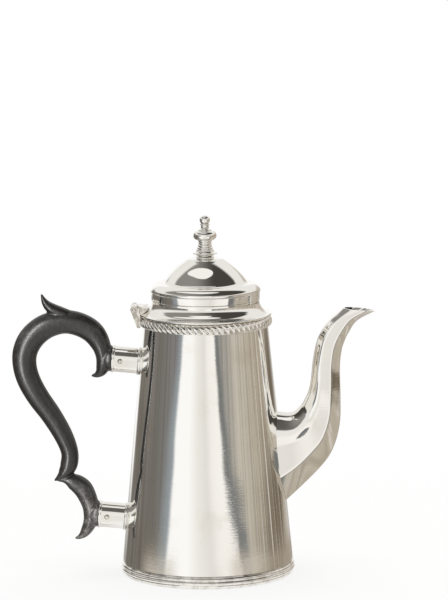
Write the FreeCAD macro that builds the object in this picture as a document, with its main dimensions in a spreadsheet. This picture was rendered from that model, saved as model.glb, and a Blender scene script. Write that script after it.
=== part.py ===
import FreeCAD, Part
import math
import os

import Sketcher

# Driving sizes of the coffee pot, in millimetres and degrees, with what each one measures.
SIZES = {
    "foot_radius": (55.5, "widest radius of the foot"),
    "foot_height": (8.0, "foot ring, from the table to the wall"),
    "foot_width": (5.5, "foot ring at the table, from its inside to its widest radius"),
    "foot_ledge": (3.6, "ledge of the foot ring under the base plate"),
    "foot_tuck": (0.8, "how far the lowest reed draws in at the table"),
    "foot_low_reed": (2.2, "height of the lowest reed"),
    "foot_middle_reed": (2.5, "height of the middle reed"),
    "foot_top_reed": (2.7, "height of the top reed"),
    "foot_reed_bow": (0.8, "how far a reed swells"),
    "body_base_radius": (54.2, "outside of the wall at the foot"),
    "body_rim_radius": (39.1, "outside of the wall at the rim"),
    "body_height": (157.0, "wall, from the foot to the rim"),
    "body_wall": (1.2, "sheet of the wall"),
    "plate_thickness": (1.2, "base plate"),
    "plate_lap": (0.6, "how far the base plate reaches under the wall"),
    "seat_gap": (0.02, "solder gap between round seats"),
    "strainer_height": (74.0, "middle of the strainer above the table"),
    "strainer_hole_radius": (1.6, "one strainer hole"),
    "strainer_pitch": (5.2, "from ring to ring of strainer holes"),
    "rope_height": (6.5, "rope border, top to bottom"),
    "rope_proud": (2.6, "how far the rope stands off the wall"),
    "rope_core": (1.5, "how far the rope's core stands off the wall"),
    "rope_slant": (35.0, "slant of the strands from upright"),
    "rope_strands": (64, "strands round the rim"),
    "strand_radius": (1.5, "half the thickness of a strand"),
    "lid_gap": (0.3, "play between rim and closed lid"),
    "lid_wall": (1.0, "sheet of the lid"),
    "lid_flange_over": (2.7, "lid's flange, out beyond the wall at the rim"),
    "lid_flange_edge": (1.5, "thickness of the flange's edge"),
    "lid_flange_round": (0.4, "how far the flange's edge swells"),
    "lid_neck_in": (5.0, "neck under the step, in from the rim"),
    "lid_neck_rise": (10.2, "from the rim to the neck"),
    "lid_cove_bow": (1.6, "hollow of the flare between flange and neck"),
    "lid_step_in": (4.0, "widest part of the step, in from the rim"),
    "lid_step_rise": (15.3, "from the rim to the widest part of the step"),
    "lid_step_bow": (1.0, "swell of the step's shoulder"),
    "lid_shoulder_in": (10.8, "inner edge of the step, in from the rim"),
    "lid_shoulder_rise": (21.3, "from the rim to the inner edge of the step"),
    "lid_bell_in": (12.3, "foot of the bell, in from the rim"),
    "lid_bell_rise": (21.7, "from the rim to the foot of the bell"),
    "lid_bell_bow": (0.4, "hollow of the bell's lower part"),
    "lid_waist_in": (18.6, "where the bell turns from hollow to round, in from the rim"),
    "lid_waist_rise": (27.3, "from the rim to that turn"),
    "lid_crown_bow": (2.0, "swell of the bell's upper part"),
    "lid_crown_rise": (36.0, "from the rim to the top of the bell"),
    "bezel_depth": (5.0, "how far the bezel drops into the mouth"),
    "bezel_clearance": (0.9, "room round the bezel, so that it can swing out"),
    "bezel_wall": (1.0, "sheet of the bezel"),
    "finial_base_radius": (5.2, "finial where it stands on the lid"),
    "finial_flange_radius": (7.5, "lower flange of the finial"),
    "finial_flange_rise": (1.7, "from the lid to the flange"),
    "finial_flange_edge": (0.6, "thickness of the flange"),
    "finial_collar_radius": (4.6, "collar above the flange"),
    "finial_collar_rise": (4.1, "from the lid to the collar"),
    "finial_waist_radius": (3.7, "waist of the baluster"),
    "finial_waist_rise": (7.0, "from the lid to the waist"),
    "finial_throat_radius": (4.35, "underside of the bulb"),
    "finial_throat_rise": (10.5, "from the lid to the underside of the bulb"),
    "finial_bulb_radius": (7.4, "bulb"),
    "finial_bulb_rise": (13.9, "from the lid to the widest part of the bulb"),
    "finial_cap_radius": (4.0, "small flange on the bulb"),
    "finial_cap_rise": (16.7, "from the lid to the small flange"),
    "finial_neck_radius": (2.4, "neck under the bud"),
    "finial_neck_rise": (20.2, "from the lid to the neck"),
    "finial_bud_radius": (3.5, "bud"),
    "finial_bud_rise": (23.0, "from the lid to the widest part of the bud"),
    "finial_height": (27.4, "finial above the lid"),
    "finial_round": (0.2, "swell of the finial's thin edges"),
    "finial_hollow": (0.3, "hollow of the finial's coves"),
    "finial_swell": (0.95, "swell of the bulb and the bud"),
    "finial_bud_swell": (0.35, "swell of the bud's underside"),
    "finial_tip_radius": (0.6, "flat cone on top of the bud"),
    "finial_tip_height": (0.25, "flat cone on top of the bud"),
    "stud_radius": (2.0, "stud under the finial"),
    "stud_end": (0.8, "stud below its nut"),
    "stud_fit": (0.05, "play round the stud"),
    "washer_radius": (4.8, "washer inside the lid"),
    "washer_thickness": (0.8, "washer inside the lid"),
    "nut_radius": (3.9, "finial nut, to its corners"),
    "nut_height": (2.6, "finial nut"),
    "hinge_out": (3.0, "hinge axis beyond the rope"),
    "hinge_rise": (4.7, "hinge axis above the closed lid's flange"),
    "hinge_barrel_radius": (2.4, "outside of the knuckles"),
    "hinge_width": (18.0, "all the knuckles together"),
    "hinge_knuckle": (6.0, "the lid's knuckle"),
    "hinge_side_gap": (0.25, "play beside the lid's knuckle"),
    "hinge_clearance": (0.4, "room between a knuckle and the other leaf"),
    "hinge_pin_radius": (1.0, "hinge pin"),
    "hinge_pin_fit": (0.05, "play round the hinge pin"),
    "hinge_pin_end": (0.5, "domed end of the hinge pin beyond the knuckles"),
    "hinge_foot": (1.2, "thickness of the body leaf at its foot"),
    "lid_leaf_reach": (8.6, "lid leaf, from the hinge axis over the lid"),
    "lid_leaf_height": (1.8, "top of the lid leaf above the hinge axis"),
    "lid_leaf_tip": (0.9, "inner edge of the lid leaf below its top"),
    "lid_leaf_width": (15.0, "lid leaf on the lid"),
    "socket_radius": (8.2, "outside of a handle socket"),
    "socket_wall": (0.9, "sheet of a socket"),
    "socket_length": (18.0, "socket, from the wall to its mouth"),
    "upper_socket_height": (136.0, "upper socket on the wall"),
    "lower_socket_height": (35.7, "lower socket on the wall"),
    "socket_rim_width": (1.8, "ring round a socket's mouth"),
    "socket_rim_proud": (0.6, "how far that ring stands off the socket"),
    "rivet_radius": (1.1, "handle pin"),
    "rivet_fit": (0.05, "play round a handle pin"),
    "rivet_head_radius": (1.6, "head of a handle pin"),
    "rivet_head_height": (0.7, "head of a handle pin"),
    "rivet_inset": (5.5, "handle pin from the socket's mouth"),
    "tenon_length": (13.0, "handle inside a socket"),
    "tenon_clearance": (0.1, "play between tenon and socket"),
    "handle_reach": (63.0, "depth of the scroll, out from the sockets' mouths"),
    "handle_thickness": (16.0, "handle at its crown, in the plane of the scroll"),
    "handle_depth": (14.0, "handle at its crown, across the scroll"),
    "handle_boss_radius": (8.3, "wood where it meets a socket"),
    "spout_height": (75.2, "middle of the spout's root above the table"),
    "spout_reach": (59.7, "beak's tip, out from the wall"),
    "spout_rise": (96.2, "back of the beak above the middle of the root"),
    "spout_width": (31.0, "spout across its root"),
    "spout_wall": (1.3, "sheet of the spout"),
}

# Upper scroll of the handle, from the horn under the upper socket round to the spur.
# Each station: shares of the reach and of the sockets' spacing, then of half the thickness and depth.
UPPER_SCROLL = (
    (0.188, 0.890, 0.06, 0.20),
    (0.131, 0.898, 0.27, 0.45),
    (0.092, 0.926, 0.48, 0.72),
    (0.080, 0.970, 0.56, 0.90),
    (0.088, 1.024, 0.62, 0.96),
    (0.126, 1.096, 0.79, 0.98),
    (0.219, 1.172, 0.92, 1.00),
    (0.362, 1.221, 0.95, 1.00),
    (0.524, 1.236, 0.95, 1.00),
    (0.694, 1.206, 1.00, 1.00),
    (0.817, 1.138, 1.02, 1.00),
    (0.875, 1.052, 0.99, 0.98),
    (0.870, 0.962, 0.95, 0.96),
    (0.814, 0.863, 0.93, 0.94),
    (0.705, 0.754, 0.89, 0.92),
    (0.562, 0.640, 0.83, 0.90),
    (0.424, 0.510, 0.76, 0.87),
    (0.345, 0.400, 0.69, 0.84),
    (0.343, 0.316, 0.69, 0.82),
    (0.385, 0.262, 0.50, 0.68),
    (0.429, 0.236, 0.26, 0.45),
    (0.474, 0.217, 0.06, 0.18),
)

# Lower crescent, from the spur past the lower socket to the tail.
LOWER_CRESCENT = (
    (0.436, 0.219, 0.10, 0.30),
    (0.365, 0.216, 0.36, 0.60),
    (0.277, 0.214, 0.74, 0.84),
    (0.159, 0.145, 0.77, 0.90),
    (0.092, 0.059, 0.68, 0.92),
    (0.074, -0.014, 0.60, 0.90),
    (0.084, -0.067, 0.53, 0.82),
    (0.121, -0.118, 0.40, 0.62),
    (0.164, -0.147, 0.22, 0.42),
    (0.215, -0.159, 0.06, 0.20),
)

# Thumb piece, from inside the crown up to its tip.
THUMB_LEAF = (
    (0.400, 1.255, 0.50, 0.60),
    (0.531, 1.290, 0.48, 0.72),
    (0.648, 1.323, 0.44, 0.66),
    (0.716, 1.362, 0.28, 0.46),
    (0.760, 1.414, 0.06, 0.18),
)

# Fullness of the handle's oval section: 0.707 would be a plain ellipse.
OVAL_FULLNESS = 0.74

# Stations along the spout, from inside the wall to the beak.
# Each: shares of reach and rise on the inner contour, the same on the outer one, share of half the width.
SPOUT_STATIONS = (
    (-0.150, 0.300, -0.100, -0.380, 1.05),
    (0.087, 0.283, 0.198, -0.212, 0.97),
    (0.198, 0.331, 0.447, -0.054, 0.82),
    (0.281, 0.427, 0.623, 0.235, 0.70),
    (0.308, 0.505, 0.626, 0.395, 0.63),
    (0.330, 0.628, 0.620, 0.580, 0.57),
    (0.365, 0.741, 0.638, 0.690, 0.53),
    (0.419, 0.820, 0.672, 0.757, 0.50),
    (0.503, 0.891, 0.715, 0.812, 0.48),
    (0.586, 0.951, 0.805, 0.890, 0.46),
    (0.655, 1.000, 1.000, 0.955, 0.43),
)

# Corners of the spout's eight-sided section: share of half the depth, then of half the width.
SPOUT_FACETS = (
    (1.00, 0.34),
    (0.34, 1.00),
    (-0.56, 1.00),
    (-1.00, 0.42),
    (-1.00, -0.42),
    (-0.56, -1.00),
    (0.34, -1.00),
    (1.00, -0.34),
)

SHEET = "Sizes"
RIGHT_ANGLE = 90.0
FULL_TURN = 360.0
NUT_SIDES = 6
FIRST_RING_HOLES = 6
SECOND_RING_HOLES = 12
# A low domed end: its flat as a share of its radius, and the bow of its side as a share of its height.
DOME_FLAT = 0.3
DOME_BOW = 0.2
# How far the inside of the bell lies in and down from its outside, as a share of the sheet.
INSIDE_LEAN = 0.7
# How far a cutting shape reaches past what it cuts, in strand radii.
CUT_ROOM = 3
# How far a quarter and an eighth of a circle bow beyond their chords, as shares of the radius.
QUARTER_BOW = 1 - math.cos(math.pi / 4)
EIGHTH_BOW = 1 - math.cos(math.pi / 8)
ACROSS = FreeCAD.Vector(0, 1, 0)
UP = FreeCAD.Vector(0, 0, 1)

doc = FreeCAD.newDocument("coffee_pot")


class Size:
    """A number together with the expression that ties it to the sheet."""

    def __init__(self, value, text):
        self.value = float(value)
        self.text = text

    def __add__(self, other):
        other = as_size(other)
        return Size(self.value + other.value, f"({self.text} + {other.text})")

    def __radd__(self, other):
        return as_size(other) + self

    def __sub__(self, other):
        other = as_size(other)
        return Size(self.value - other.value, f"({self.text} - {other.text})")

    def __rsub__(self, other):
        return as_size(other) - self

    def __mul__(self, other):
        other = as_size(other)
        return Size(self.value * other.value, f"({self.text} * {other.text})")

    def __rmul__(self, other):
        return as_size(other) * self

    def __truediv__(self, other):
        other = as_size(other)
        return Size(self.value / other.value, f"({self.text} / {other.text})")

    def __neg__(self):
        return Size(-self.value, f"(-1 * {self.text})")


def as_size(number):
    """The number itself if it is a Size already, or else a fixed Size."""
    return number if isinstance(number, Size) else Size(number, repr(float(number)))


def cosine(angle):
    """Cosine of an angle in degrees from the sheet."""
    return Size(math.cos(math.radians(angle.value)), f"cos({angle.text} * 1 deg)")


def write_sheet():
    """Fills the sheet with the driving sizes and returns them by name."""
    sheet = doc.addObject("Spreadsheet::Sheet", SHEET)
    named = {}
    for row, (name, (value, note)) in enumerate(SIZES.items(), start=1):
        sheet.set(f"A{row}", name)
        sheet.set(f"B{row}", str(value))
        sheet.setAlias(f"B{row}", name)
        sheet.set(f"C{row}", note)
        named[name] = Size(value, f"{SHEET}.{name}")
    doc.recompute()
    return named


size = write_sheet()


# Heights and radii that several pieces share.
rim_top = size["foot_height"] + size["body_height"]
lid_seat = rim_top + size["lid_gap"]
taper = (size["body_base_radius"] - size["body_rim_radius"]) / size["body_height"]
taper_angle = math.degrees(math.atan(taper.value))
taper_text = f"atan({taper.text})"


def wall_radius(height):
    """Outside radius of the tapered wall at a height above the table."""
    return size["body_base_radius"] - (height - size["foot_height"]) * taper


rope_bottom = rim_top - size["rope_height"]
rope_middle = rim_top - size["rope_height"] / 2
rope_radius = wall_radius(rope_middle) + size["rope_proud"]
plate_seat_radius = size["body_base_radius"] - size["body_wall"] + size["plate_lap"]
bezel_radius = size["body_rim_radius"] - size["body_wall"] - size["bezel_clearance"]
lid_flange = size["body_rim_radius"] + size["lid_flange_over"]
lid_neck_radius = size["body_rim_radius"] - size["lid_neck_in"]
lid_neck = lid_seat + size["lid_neck_rise"]
lid_top = lid_seat + size["lid_crown_rise"]
hinge_x = -(rope_radius + size["hinge_out"])
hinge_z = lid_seat + size["hinge_rise"]
hinge_bore = size["hinge_pin_radius"] + size["hinge_pin_fit"]
stud_bore = size["stud_radius"] + size["stud_fit"]
washer_top = lid_top - size["lid_wall"]
nut_top = washer_top - size["washer_thickness"]
stud_bottom = nut_top - size["nut_height"] - size["stud_end"]
socket_bore = size["socket_radius"] - size["socket_wall"]


def tie(owner, path, amount):
    """Binds a property of an object to a size."""
    owner.setExpression(path, as_size(amount).text)


def constrain(sketch, kind, places, amount):
    """Adds one dimension to a sketch and binds it."""
    index = sketch.addConstraint(Sketcher.Constraint(kind, *places, amount.value))
    tie(sketch, f"Constraints[{index}]", amount)


def fix_point(sketch, geometry, end, x, y):
    """Fixes a point of the sketch at x, y from the sketch's origin."""
    for kind, axis, amount in (("DistanceX", -2, as_size(x)), ("DistanceY", -1, as_size(y))):
        if amount.value == 0:
            sketch.addConstraint(Sketcher.Constraint("PointOnObject", geometry, end, axis))
        else:
            constrain(sketch, kind, (-1, 1, geometry, end), amount)


def draw_side(sketch, start, finish, corner, following):
    """Draws one side of an outline; returns its geometry, its first end and its last end."""
    if len(corner) < 3:
        return sketch.addGeometry(Part.LineSegment(start, finish)), 1, 2
    bow = corner[2]
    along = finish - start
    outwards = FreeCAD.Vector(along.y, -along.x, 0).normalize()
    middle = (start + finish) * 0.5 + outwards * bow.value
    geometry = sketch.addGeometry(Part.Arc(start, middle, finish))
    run_x = as_size(following[0]) - corner[0]
    run_y = as_size(following[1]) - corner[1]
    chord_squared = run_x * run_x + run_y * run_y
    depth = bow if bow.value > 0 else -bow
    constrain(sketch, "Radius", (geometry,), (chord_squared / 4 + bow * bow) / (2 * depth))
    first, last = sketch.getPoint(geometry, 1), sketch.getPoint(geometry, 2)
    turned_round = first.distanceToPoint(start) > last.distanceToPoint(start)
    return (geometry, 2, 1) if turned_round else (geometry, 1, 2)


def outline(sketch, corners):
    """Draws a closed outline, anticlockwise; a corner's third entry bows the side that leaves it."""
    points = [FreeCAD.Vector(as_size(c[0]).value, as_size(c[1]).value, 0) for c in corners]
    sides = []
    for i, corner in enumerate(corners):
        after = (i + 1) % len(corners)
        sides.append(draw_side(sketch, points[i], points[after], corner, corners[after]))
    for i, (geometry, first, _) in enumerate(sides):
        before, _, last = sides[i - 1]
        sketch.addConstraint(Sketcher.Constraint("Coincident", before, last, geometry, first))
        fix_point(sketch, geometry, first, corners[i][0], corners[i][1])


def ring_outline(sketch, radius, x=0, y=0):
    """Draws a circle about x, y."""
    middle = FreeCAD.Vector(as_size(x).value, as_size(y).value, 0)
    geometry = sketch.addGeometry(Part.Circle(middle, FreeCAD.Vector(0, 0, 1), radius.value))
    constrain(sketch, "Radius", (geometry,), radius)
    fix_point(sketch, geometry, 3, x, y)


def origin_feature(body, role):
    """One of a body's own origin planes or axes."""
    return next(feature for feature in body.Origin.OriginFeatures if feature.Role == role)


def sketch_on(body, role, name):
    """A new sketch on one of the body's own planes."""
    sketch = body.newObject("Sketcher::SketchObject", name)
    sketch.AttachmentSupport = (origin_feature(body, role), [""])
    sketch.MapMode = "FlatFace"
    return sketch


def turn(body, kind, sketch, name):
    """Turns a sketch about its upright axis, adding or cutting."""
    feature = body.newObject(f"PartDesign::{kind}", name)
    feature.Profile = sketch
    feature.ReferenceAxis = (sketch, ["V_Axis"])
    feature.Angle = FULL_TURN
    body.Tip = feature
    return feature


def turned(label, corners):
    """A piece turned about the pot's axis from a profile of radius and height."""
    body = doc.addObject("PartDesign::Body", label)
    profile = sketch_on(body, "XZ_Plane", f"{label}_profile")
    outline(profile, corners)
    turn(body, "Revolution", profile, f"{label}_turn")
    return body


def pad_across(body, corners, width, name):
    """Pads an upright outline equally to both sides of the scroll's plane."""
    sketch = sketch_on(body, "XZ_Plane", f"{name}_outline")
    outline(sketch, corners)
    pad = body.newObject("PartDesign::Pad", name)
    pad.Profile = sketch
    pad.SideType = "Symmetric"
    tie(pad, "Length", width)
    body.Tip = pad
    return pad


def cut_across(body, radius, x, z, width, name):
    """Cuts a round way along the hinge axis, equally to both sides."""
    sketch = sketch_on(body, "XZ_Plane", f"{name}_outline")
    ring_outline(sketch, radius, x, z)
    pocket = body.newObject("PartDesign::Pocket", name)
    pocket.Profile = sketch
    pocket.SideType = "Symmetric"
    tie(pocket, "Length", width)
    body.Tip = pocket
    return pocket


def polar(body, original, axis, count, name):
    """Repeats a feature round an axis."""
    pattern = body.newObject("PartDesign::PolarPattern", name)
    pattern.Originals = [original]
    pattern.Axis = axis
    pattern.Angle = FULL_TURN
    pattern.Occurrences = int(as_size(count).value)
    if isinstance(count, Size):
        tie(pattern, "Occurrences", count)
    body.Tip = pattern
    return pattern


def make_foot_ring():
    """Foot moulding of three reeds, with a ledge for the base plate."""
    bow = size["foot_reed_bow"]
    seam = size["foot_radius"] - bow
    low_top = size["foot_low_reed"]
    middle_top = low_top + size["foot_middle_reed"]
    ledge = size["foot_height"] - size["plate_thickness"]
    return turned("foot_ring", (
        (size["foot_radius"] - size["foot_width"], 0),
        (seam - size["foot_tuck"], 0, bow / 2),
        (seam, low_top, bow),
        (seam, middle_top, bow),
        (size["body_base_radius"], middle_top + size["foot_top_reed"]),
        (size["body_base_radius"], size["foot_height"]),
        (plate_seat_radius, size["foot_height"]),
        (plate_seat_radius, ledge),
        (plate_seat_radius - size["foot_ledge"], ledge),
    ))


def make_base_plate():
    """Disc that closes the bottom, flush with the top of the foot ring."""
    plate = doc.addObject("Part::Cylinder", "base_plate")
    tie(plate, "Radius", plate_seat_radius - size["seat_gap"])
    tie(plate, "Height", size["plate_thickness"])
    tie(plate, ".Placement.Base.z", size["foot_height"] - size["plate_thickness"])
    return plate


def pierce(body, radius_out, name):
    """One strainer hole, out from the strainer's middle, through the wall on the spout's side."""
    sketch = sketch_on(body, "YZ_Plane", f"{name}_outline")
    tie(sketch, ".AttachmentOffset.Base.y", size["strainer_height"])
    ring_outline(sketch, size["strainer_hole_radius"], radius_out, 0)
    pocket = body.newObject("PartDesign::Pocket", name)
    pocket.Profile = sketch
    pocket.Type = "ThroughAll"
    pocket.Reversed = True
    body.Tip = pocket
    return pocket, (sketch, ["N_Axis"])


def make_body_shell():
    """Tapered wall, open at the mouth, pierced behind the spout."""
    wall = size["body_wall"]
    body = turned("body_shell", (
        (size["body_base_radius"] - wall, size["foot_height"]),
        (size["body_base_radius"], size["foot_height"]),
        (size["body_rim_radius"], rim_top),
        (size["body_rim_radius"] - wall, rim_top),
    ))
    pierce(body, 0, "strainer_middle")
    rings = ((1, FIRST_RING_HOLES), (2, SECOND_RING_HOLES))
    for ring, count in rings:
        hole, axis = pierce(body, size["strainer_pitch"] * ring, f"strainer_ring_{ring}")
        polar(body, hole, axis, count, f"strainer_round_{ring}")
    return body


def make_rope_border():
    """Rope wire round the rim: a plain core with slanted strands, hollowed to fit the wall."""
    core = size["rope_core"]
    body = turned("rim_rope_border", (
        (wall_radius(rope_bottom), rope_bottom),
        (wall_radius(rope_bottom) + core / 2, rope_bottom, core / 2),
        (wall_radius(rim_top) + core / 2, rim_top),
        (wall_radius(rim_top), rim_top),
    ))
    strand = sketch_on(body, "YZ_Plane", "strand_outline")
    tie(strand, ".AttachmentOffset.Base.y", rope_middle)
    tie(strand, ".AttachmentOffset.Base.z", rope_radius - size["strand_radius"])
    strand.AttachmentOffset.Rotation = FreeCAD.Rotation(UP, SIZES["rope_slant"][0])
    tie(strand, ".AttachmentOffset.Rotation.Angle", size["rope_slant"])
    spare = size["strand_radius"]
    half_length = (size["rope_height"] / 2 + spare) / cosine(size["rope_slant"])
    outline(strand, ((0, -half_length, size["strand_radius"]), (0, half_length)))
    lobe = turn(body, "Revolution", strand, "strand")
    axis = (origin_feature(body, "Z_Axis"), [""])
    polar(body, lobe, axis, size["rope_strands"], "strands")
    hollow = sketch_on(body, "XZ_Plane", "rope_hollow")
    room = spare * CUT_ROOM
    inside, outside = wall_radius(rope_bottom) - room, rope_radius + room
    low, high = rope_bottom - room, rim_top + room
    outline(hollow, (
        (inside, low),
        (outside, low),
        (outside, rope_bottom),
        (wall_radius(rope_bottom), rope_bottom),
        (wall_radius(rim_top), rim_top),
        (outside, rim_top),
        (outside, high),
        (inside, high),
    ))
    turn(body, "Groove", hollow, "rope_seat")
    return body


def wall_cone():
    """The space inside the outside of the wall, for trimming what is soldered to it."""
    return Part.makeCone(
        size["body_base_radius"].value,
        size["body_rim_radius"].value,
        size["body_height"].value,
        FreeCAD.Vector(0, 0, size["foot_height"].value),
    )


def ring_along(start, direction, outer, inner, length):
    """A plain tube along a direction."""
    solid = Part.makeCylinder(outer, length, start, direction)
    return solid.cut(Part.makeCylinder(inner, length, start, direction))


def made(label, shape):
    """A piece whose shape is worked out in code."""
    piece = doc.addObject("Part::Feature", label)
    piece.Shape = shape
    return piece


class Socket:
    """Place of one handle socket: on the wall, square to it, with its mouth and its pin."""

    def __init__(self, height):
        angle = math.radians(taper_angle)
        self.outwards = FreeCAD.Vector(-math.cos(angle), 0, math.sin(angle))
        self.height = height
        self.root = FreeCAD.Vector(-wall_radius(height).value, 0, height.value)
        self.mouth = self.along(size["socket_length"].value)
        self.pin = self.along(size["socket_length"].value - size["rivet_inset"].value)

    def along(self, distance):
        """A point on the socket's axis, out from the wall."""
        return self.root + self.outwards * distance

    def pin_hole(self, radius):
        """A round way across the socket at its pin."""
        reach = size["socket_radius"].value * 2
        return Part.makeCylinder(radius, reach * 2, self.pin - ACROSS * reach, ACROSS)


upper = Socket(size["upper_socket_height"])
lower = Socket(size["lower_socket_height"])
rivet_bore = size["rivet_radius"].value + size["rivet_fit"].value


def place_out(piece, socket, distance):
    """Puts a piece's own origin on a socket's axis, out from the wall."""
    piece.Placement.Base = socket.along(distance.value)
    run = f"cos({taper_text}) * {distance.text}"
    rise = f"sin({taper_text}) * {distance.text}"
    piece.setExpression(".Placement.Base.x", f"-1 * {wall_radius(socket.height).text} - {run}")
    piece.setExpression(".Placement.Base.z", f"{socket.height.text} + {rise}")


def make_socket(label, socket):
    """Silver tube soldered to the wall, with a hole for the handle's pin."""
    sunk = size["socket_radius"].value
    length = size["socket_length"].value + sunk
    tube = ring_along(
        socket.along(-sunk), socket.outwards, size["socket_radius"].value, socket_bore.value, length
    )
    return made(label, tube.cut(wall_cone()).cut(socket.pin_hole(rivet_bore)))


def make_socket_rim(label, socket):
    """Half-round ring round the mouth of a socket."""
    body = doc.addObject("PartDesign::Body", label)
    profile = sketch_on(body, "XZ_Plane", f"{label}_profile")
    inner = size["socket_radius"] + size["seat_gap"]
    half = size["socket_rim_width"] / 2
    proud = size["socket_rim_proud"]
    outline(profile, (
        (inner, -half * 2),
        (inner + proud / 2, -half * 2, proud / 2),
        (inner + proud / 2, 0),
        (inner, 0),
    ))
    turn(body, "Revolution", profile, f"{label}_turn")
    body.Placement.Rotation = FreeCAD.Rotation(-ACROSS, RIGHT_ANGLE - taper_angle)
    body.setExpression(".Placement.Rotation.Angle", f"{RIGHT_ANGLE} deg - {taper_text}")
    place_out(body, socket, size["socket_length"])
    return body


def make_rivet(label, socket):
    """Pin across a socket and its tenon, with a low domed head at each end."""
    body = doc.addObject("PartDesign::Body", label)
    profile = sketch_on(body, "XZ_Plane", f"{label}_profile")
    reach = size["socket_radius"]
    head = size["rivet_head_radius"]
    tip = reach + size["rivet_head_height"]
    flat = head * DOME_FLAT
    bow = size["rivet_head_height"] * DOME_BOW
    outline(profile, (
        (0, -tip),
        (flat, -tip, bow),
        (head, -reach),
        (size["rivet_radius"], -reach),
        (size["rivet_radius"], reach),
        (head, reach, bow),
        (flat, tip),
        (0, tip),
    ))
    turn(body, "Revolution", profile, f"{label}_turn")
    body.Placement.Rotation = FreeCAD.Rotation(FreeCAD.Vector(1, 0, 0), RIGHT_ANGLE)
    place_out(body, socket, size["socket_length"] - size["rivet_inset"])
    return body


def scroll_point(out, rise):
    """A point of the scroll: shares of its reach out from the sockets' mouths, and of their spacing."""
    base = lower.mouth + (upper.mouth - lower.mouth) * rise
    return FreeCAD.Vector(base.x - out * size["handle_reach"].value, 0, base.z)


def oval(centre, along, half_thickness, half_depth):
    """A full oval section, square to the scroll, from four arcs."""
    side = along.cross(ACROSS).normalize() * half_thickness
    deep = ACROSS * half_depth
    full = OVAL_FULLNESS
    quarters = ((side, deep), (deep, -side), (-side, -deep), (-deep, side))
    edges = []
    for start, finish in quarters:
        middle = centre + (start + finish) * full
        edges.append(Part.Arc(centre + start, middle, centre + finish).toShape())
    return Part.Wire(edges)


def limb(stations):
    """A tapering carved limb through oval sections."""
    points = [scroll_point(out, rise) for out, rise, _, _ in stations]
    half_thickness = size["handle_thickness"].value / 2
    half_depth = size["handle_depth"].value / 2
    wires = []
    for i, (_, _, thick, deep) in enumerate(stations):
        before, after = points[max(i - 1, 0)], points[min(i + 1, len(points) - 1)]
        along = (after - before).normalize()
        wires.append(oval(points[i], along, thick * half_thickness, deep * half_depth))
    return Part.makeLoft(wires, True)


def make_handle():
    """Carved double scroll with a thumb piece, and a tenon for each socket."""
    wood = limb(UPPER_SCROLL).fuse([limb(LOWER_CRESCENT), limb(THUMB_LEAF)])
    boss = size["handle_boss_radius"].value
    sockets = (upper, lower)
    wood = wood.fuse([Part.makeSphere(boss, socket.mouth) for socket in sockets])
    room = boss * 2
    for socket in sockets:
        start = socket.mouth - socket.outwards * room
        wood = wood.cut(Part.makeCylinder(room, room, start, socket.outwards))
    tenon_radius = socket_bore.value - size["tenon_clearance"].value
    tenon = size["tenon_length"].value
    for socket in sockets:
        start = socket.mouth - socket.outwards * tenon
        wood = wood.fuse(Part.makeCylinder(tenon_radius, tenon + boss / 2, start, socket.outwards))
        wood = wood.cut(socket.pin_hole(rivet_bore))
    return made("handle", wood.removeSplitter())


def spout_corners(station, inset):
    """Corners of the spout's eight-sided section, brought in by the inset."""
    inner_out, inner_up, outer_out, outer_up, share = station
    anchor_x = wall_radius(size["spout_height"]).value
    anchor_z = size["spout_height"].value
    reach, rise = size["spout_reach"].value, size["spout_rise"].value
    inner = FreeCAD.Vector(anchor_x + inner_out * reach, 0, anchor_z + inner_up * rise)
    outer = FreeCAD.Vector(anchor_x + outer_out * reach, 0, anchor_z + outer_up * rise)
    deep = (outer - inner) * 0.5
    middle = inner + deep
    half_depth = deep.Length - inset
    half_width = share * size["spout_width"].value / 2 - inset
    deep.normalize()
    return [middle + deep * (d * half_depth) + ACROSS * (w * half_width) for d, w in SPOUT_FACETS]


def facet_skin(rings):
    """Faceted skin through rings of corners: smooth along each corner, straight across each facet."""
    marks = [0.0]
    for before, after in zip(rings, rings[1:]):
        step = sum((b - a).Length for a, b in zip(before, after)) / len(before)
        marks.append(marks[-1] + step)
    lines = []
    for corner in range(len(rings[0])):
        curve = Part.BSplineCurve()
        curve.interpolate(Points=[ring[corner] for ring in rings], Parameters=marks)
        lines.append(curve.toShape())
    return [Part.makeRuledSurface(lines[i - 1], lines[i]) for i in range(len(lines))]


def make_spout():
    """Swan-neck spout: an eight-sided taper, hollow from the wall to its beak, trimmed to the wall."""
    wall = size["spout_wall"].value
    outside = [spout_corners(station, 0) for station in SPOUT_STATIONS]
    inside = [spout_corners(station, wall) for station in SPOUT_STATIONS]
    faces = facet_skin(outside) + facet_skin(inside)
    for end in (0, -1):
        edges = [Part.makePolygon(rings[end] + rings[end][:1]) for rings in (outside, inside)]
        faces.append(Part.Face(edges, "Part::FaceMakerBullseye"))
    shell = Part.Shell(faces)
    shell.sewShape()
    solid = Part.Solid(shell)
    solid.fix(size["seat_gap"].value, size["seat_gap"].value, size["seat_gap"].value)
    if solid.Volume < 0:
        solid.reverse()
    return made("spout", solid.cut(wall_cone()))


def skirt_corners(inner):
    """Outside of the lid's flange and flare, closed along a given inner profile."""
    lip = lid_flange - size["lid_flange_round"]
    return (
        (lip, lid_seat, size["lid_flange_round"]),
        (lip, lid_seat + size["lid_flange_edge"], -size["lid_cove_bow"]),
        (lid_neck_radius, lid_neck),
    ) + inner


def make_lid_skirt():
    """Flange and flare of the lid."""
    wall = size["lid_wall"]
    bezel_inner = bezel_radius - size["bezel_wall"]
    return turned("lid_skirt", skirt_corners((
        (lid_neck_radius - wall, lid_neck),
        (bezel_inner, lid_seat),
    )))


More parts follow.
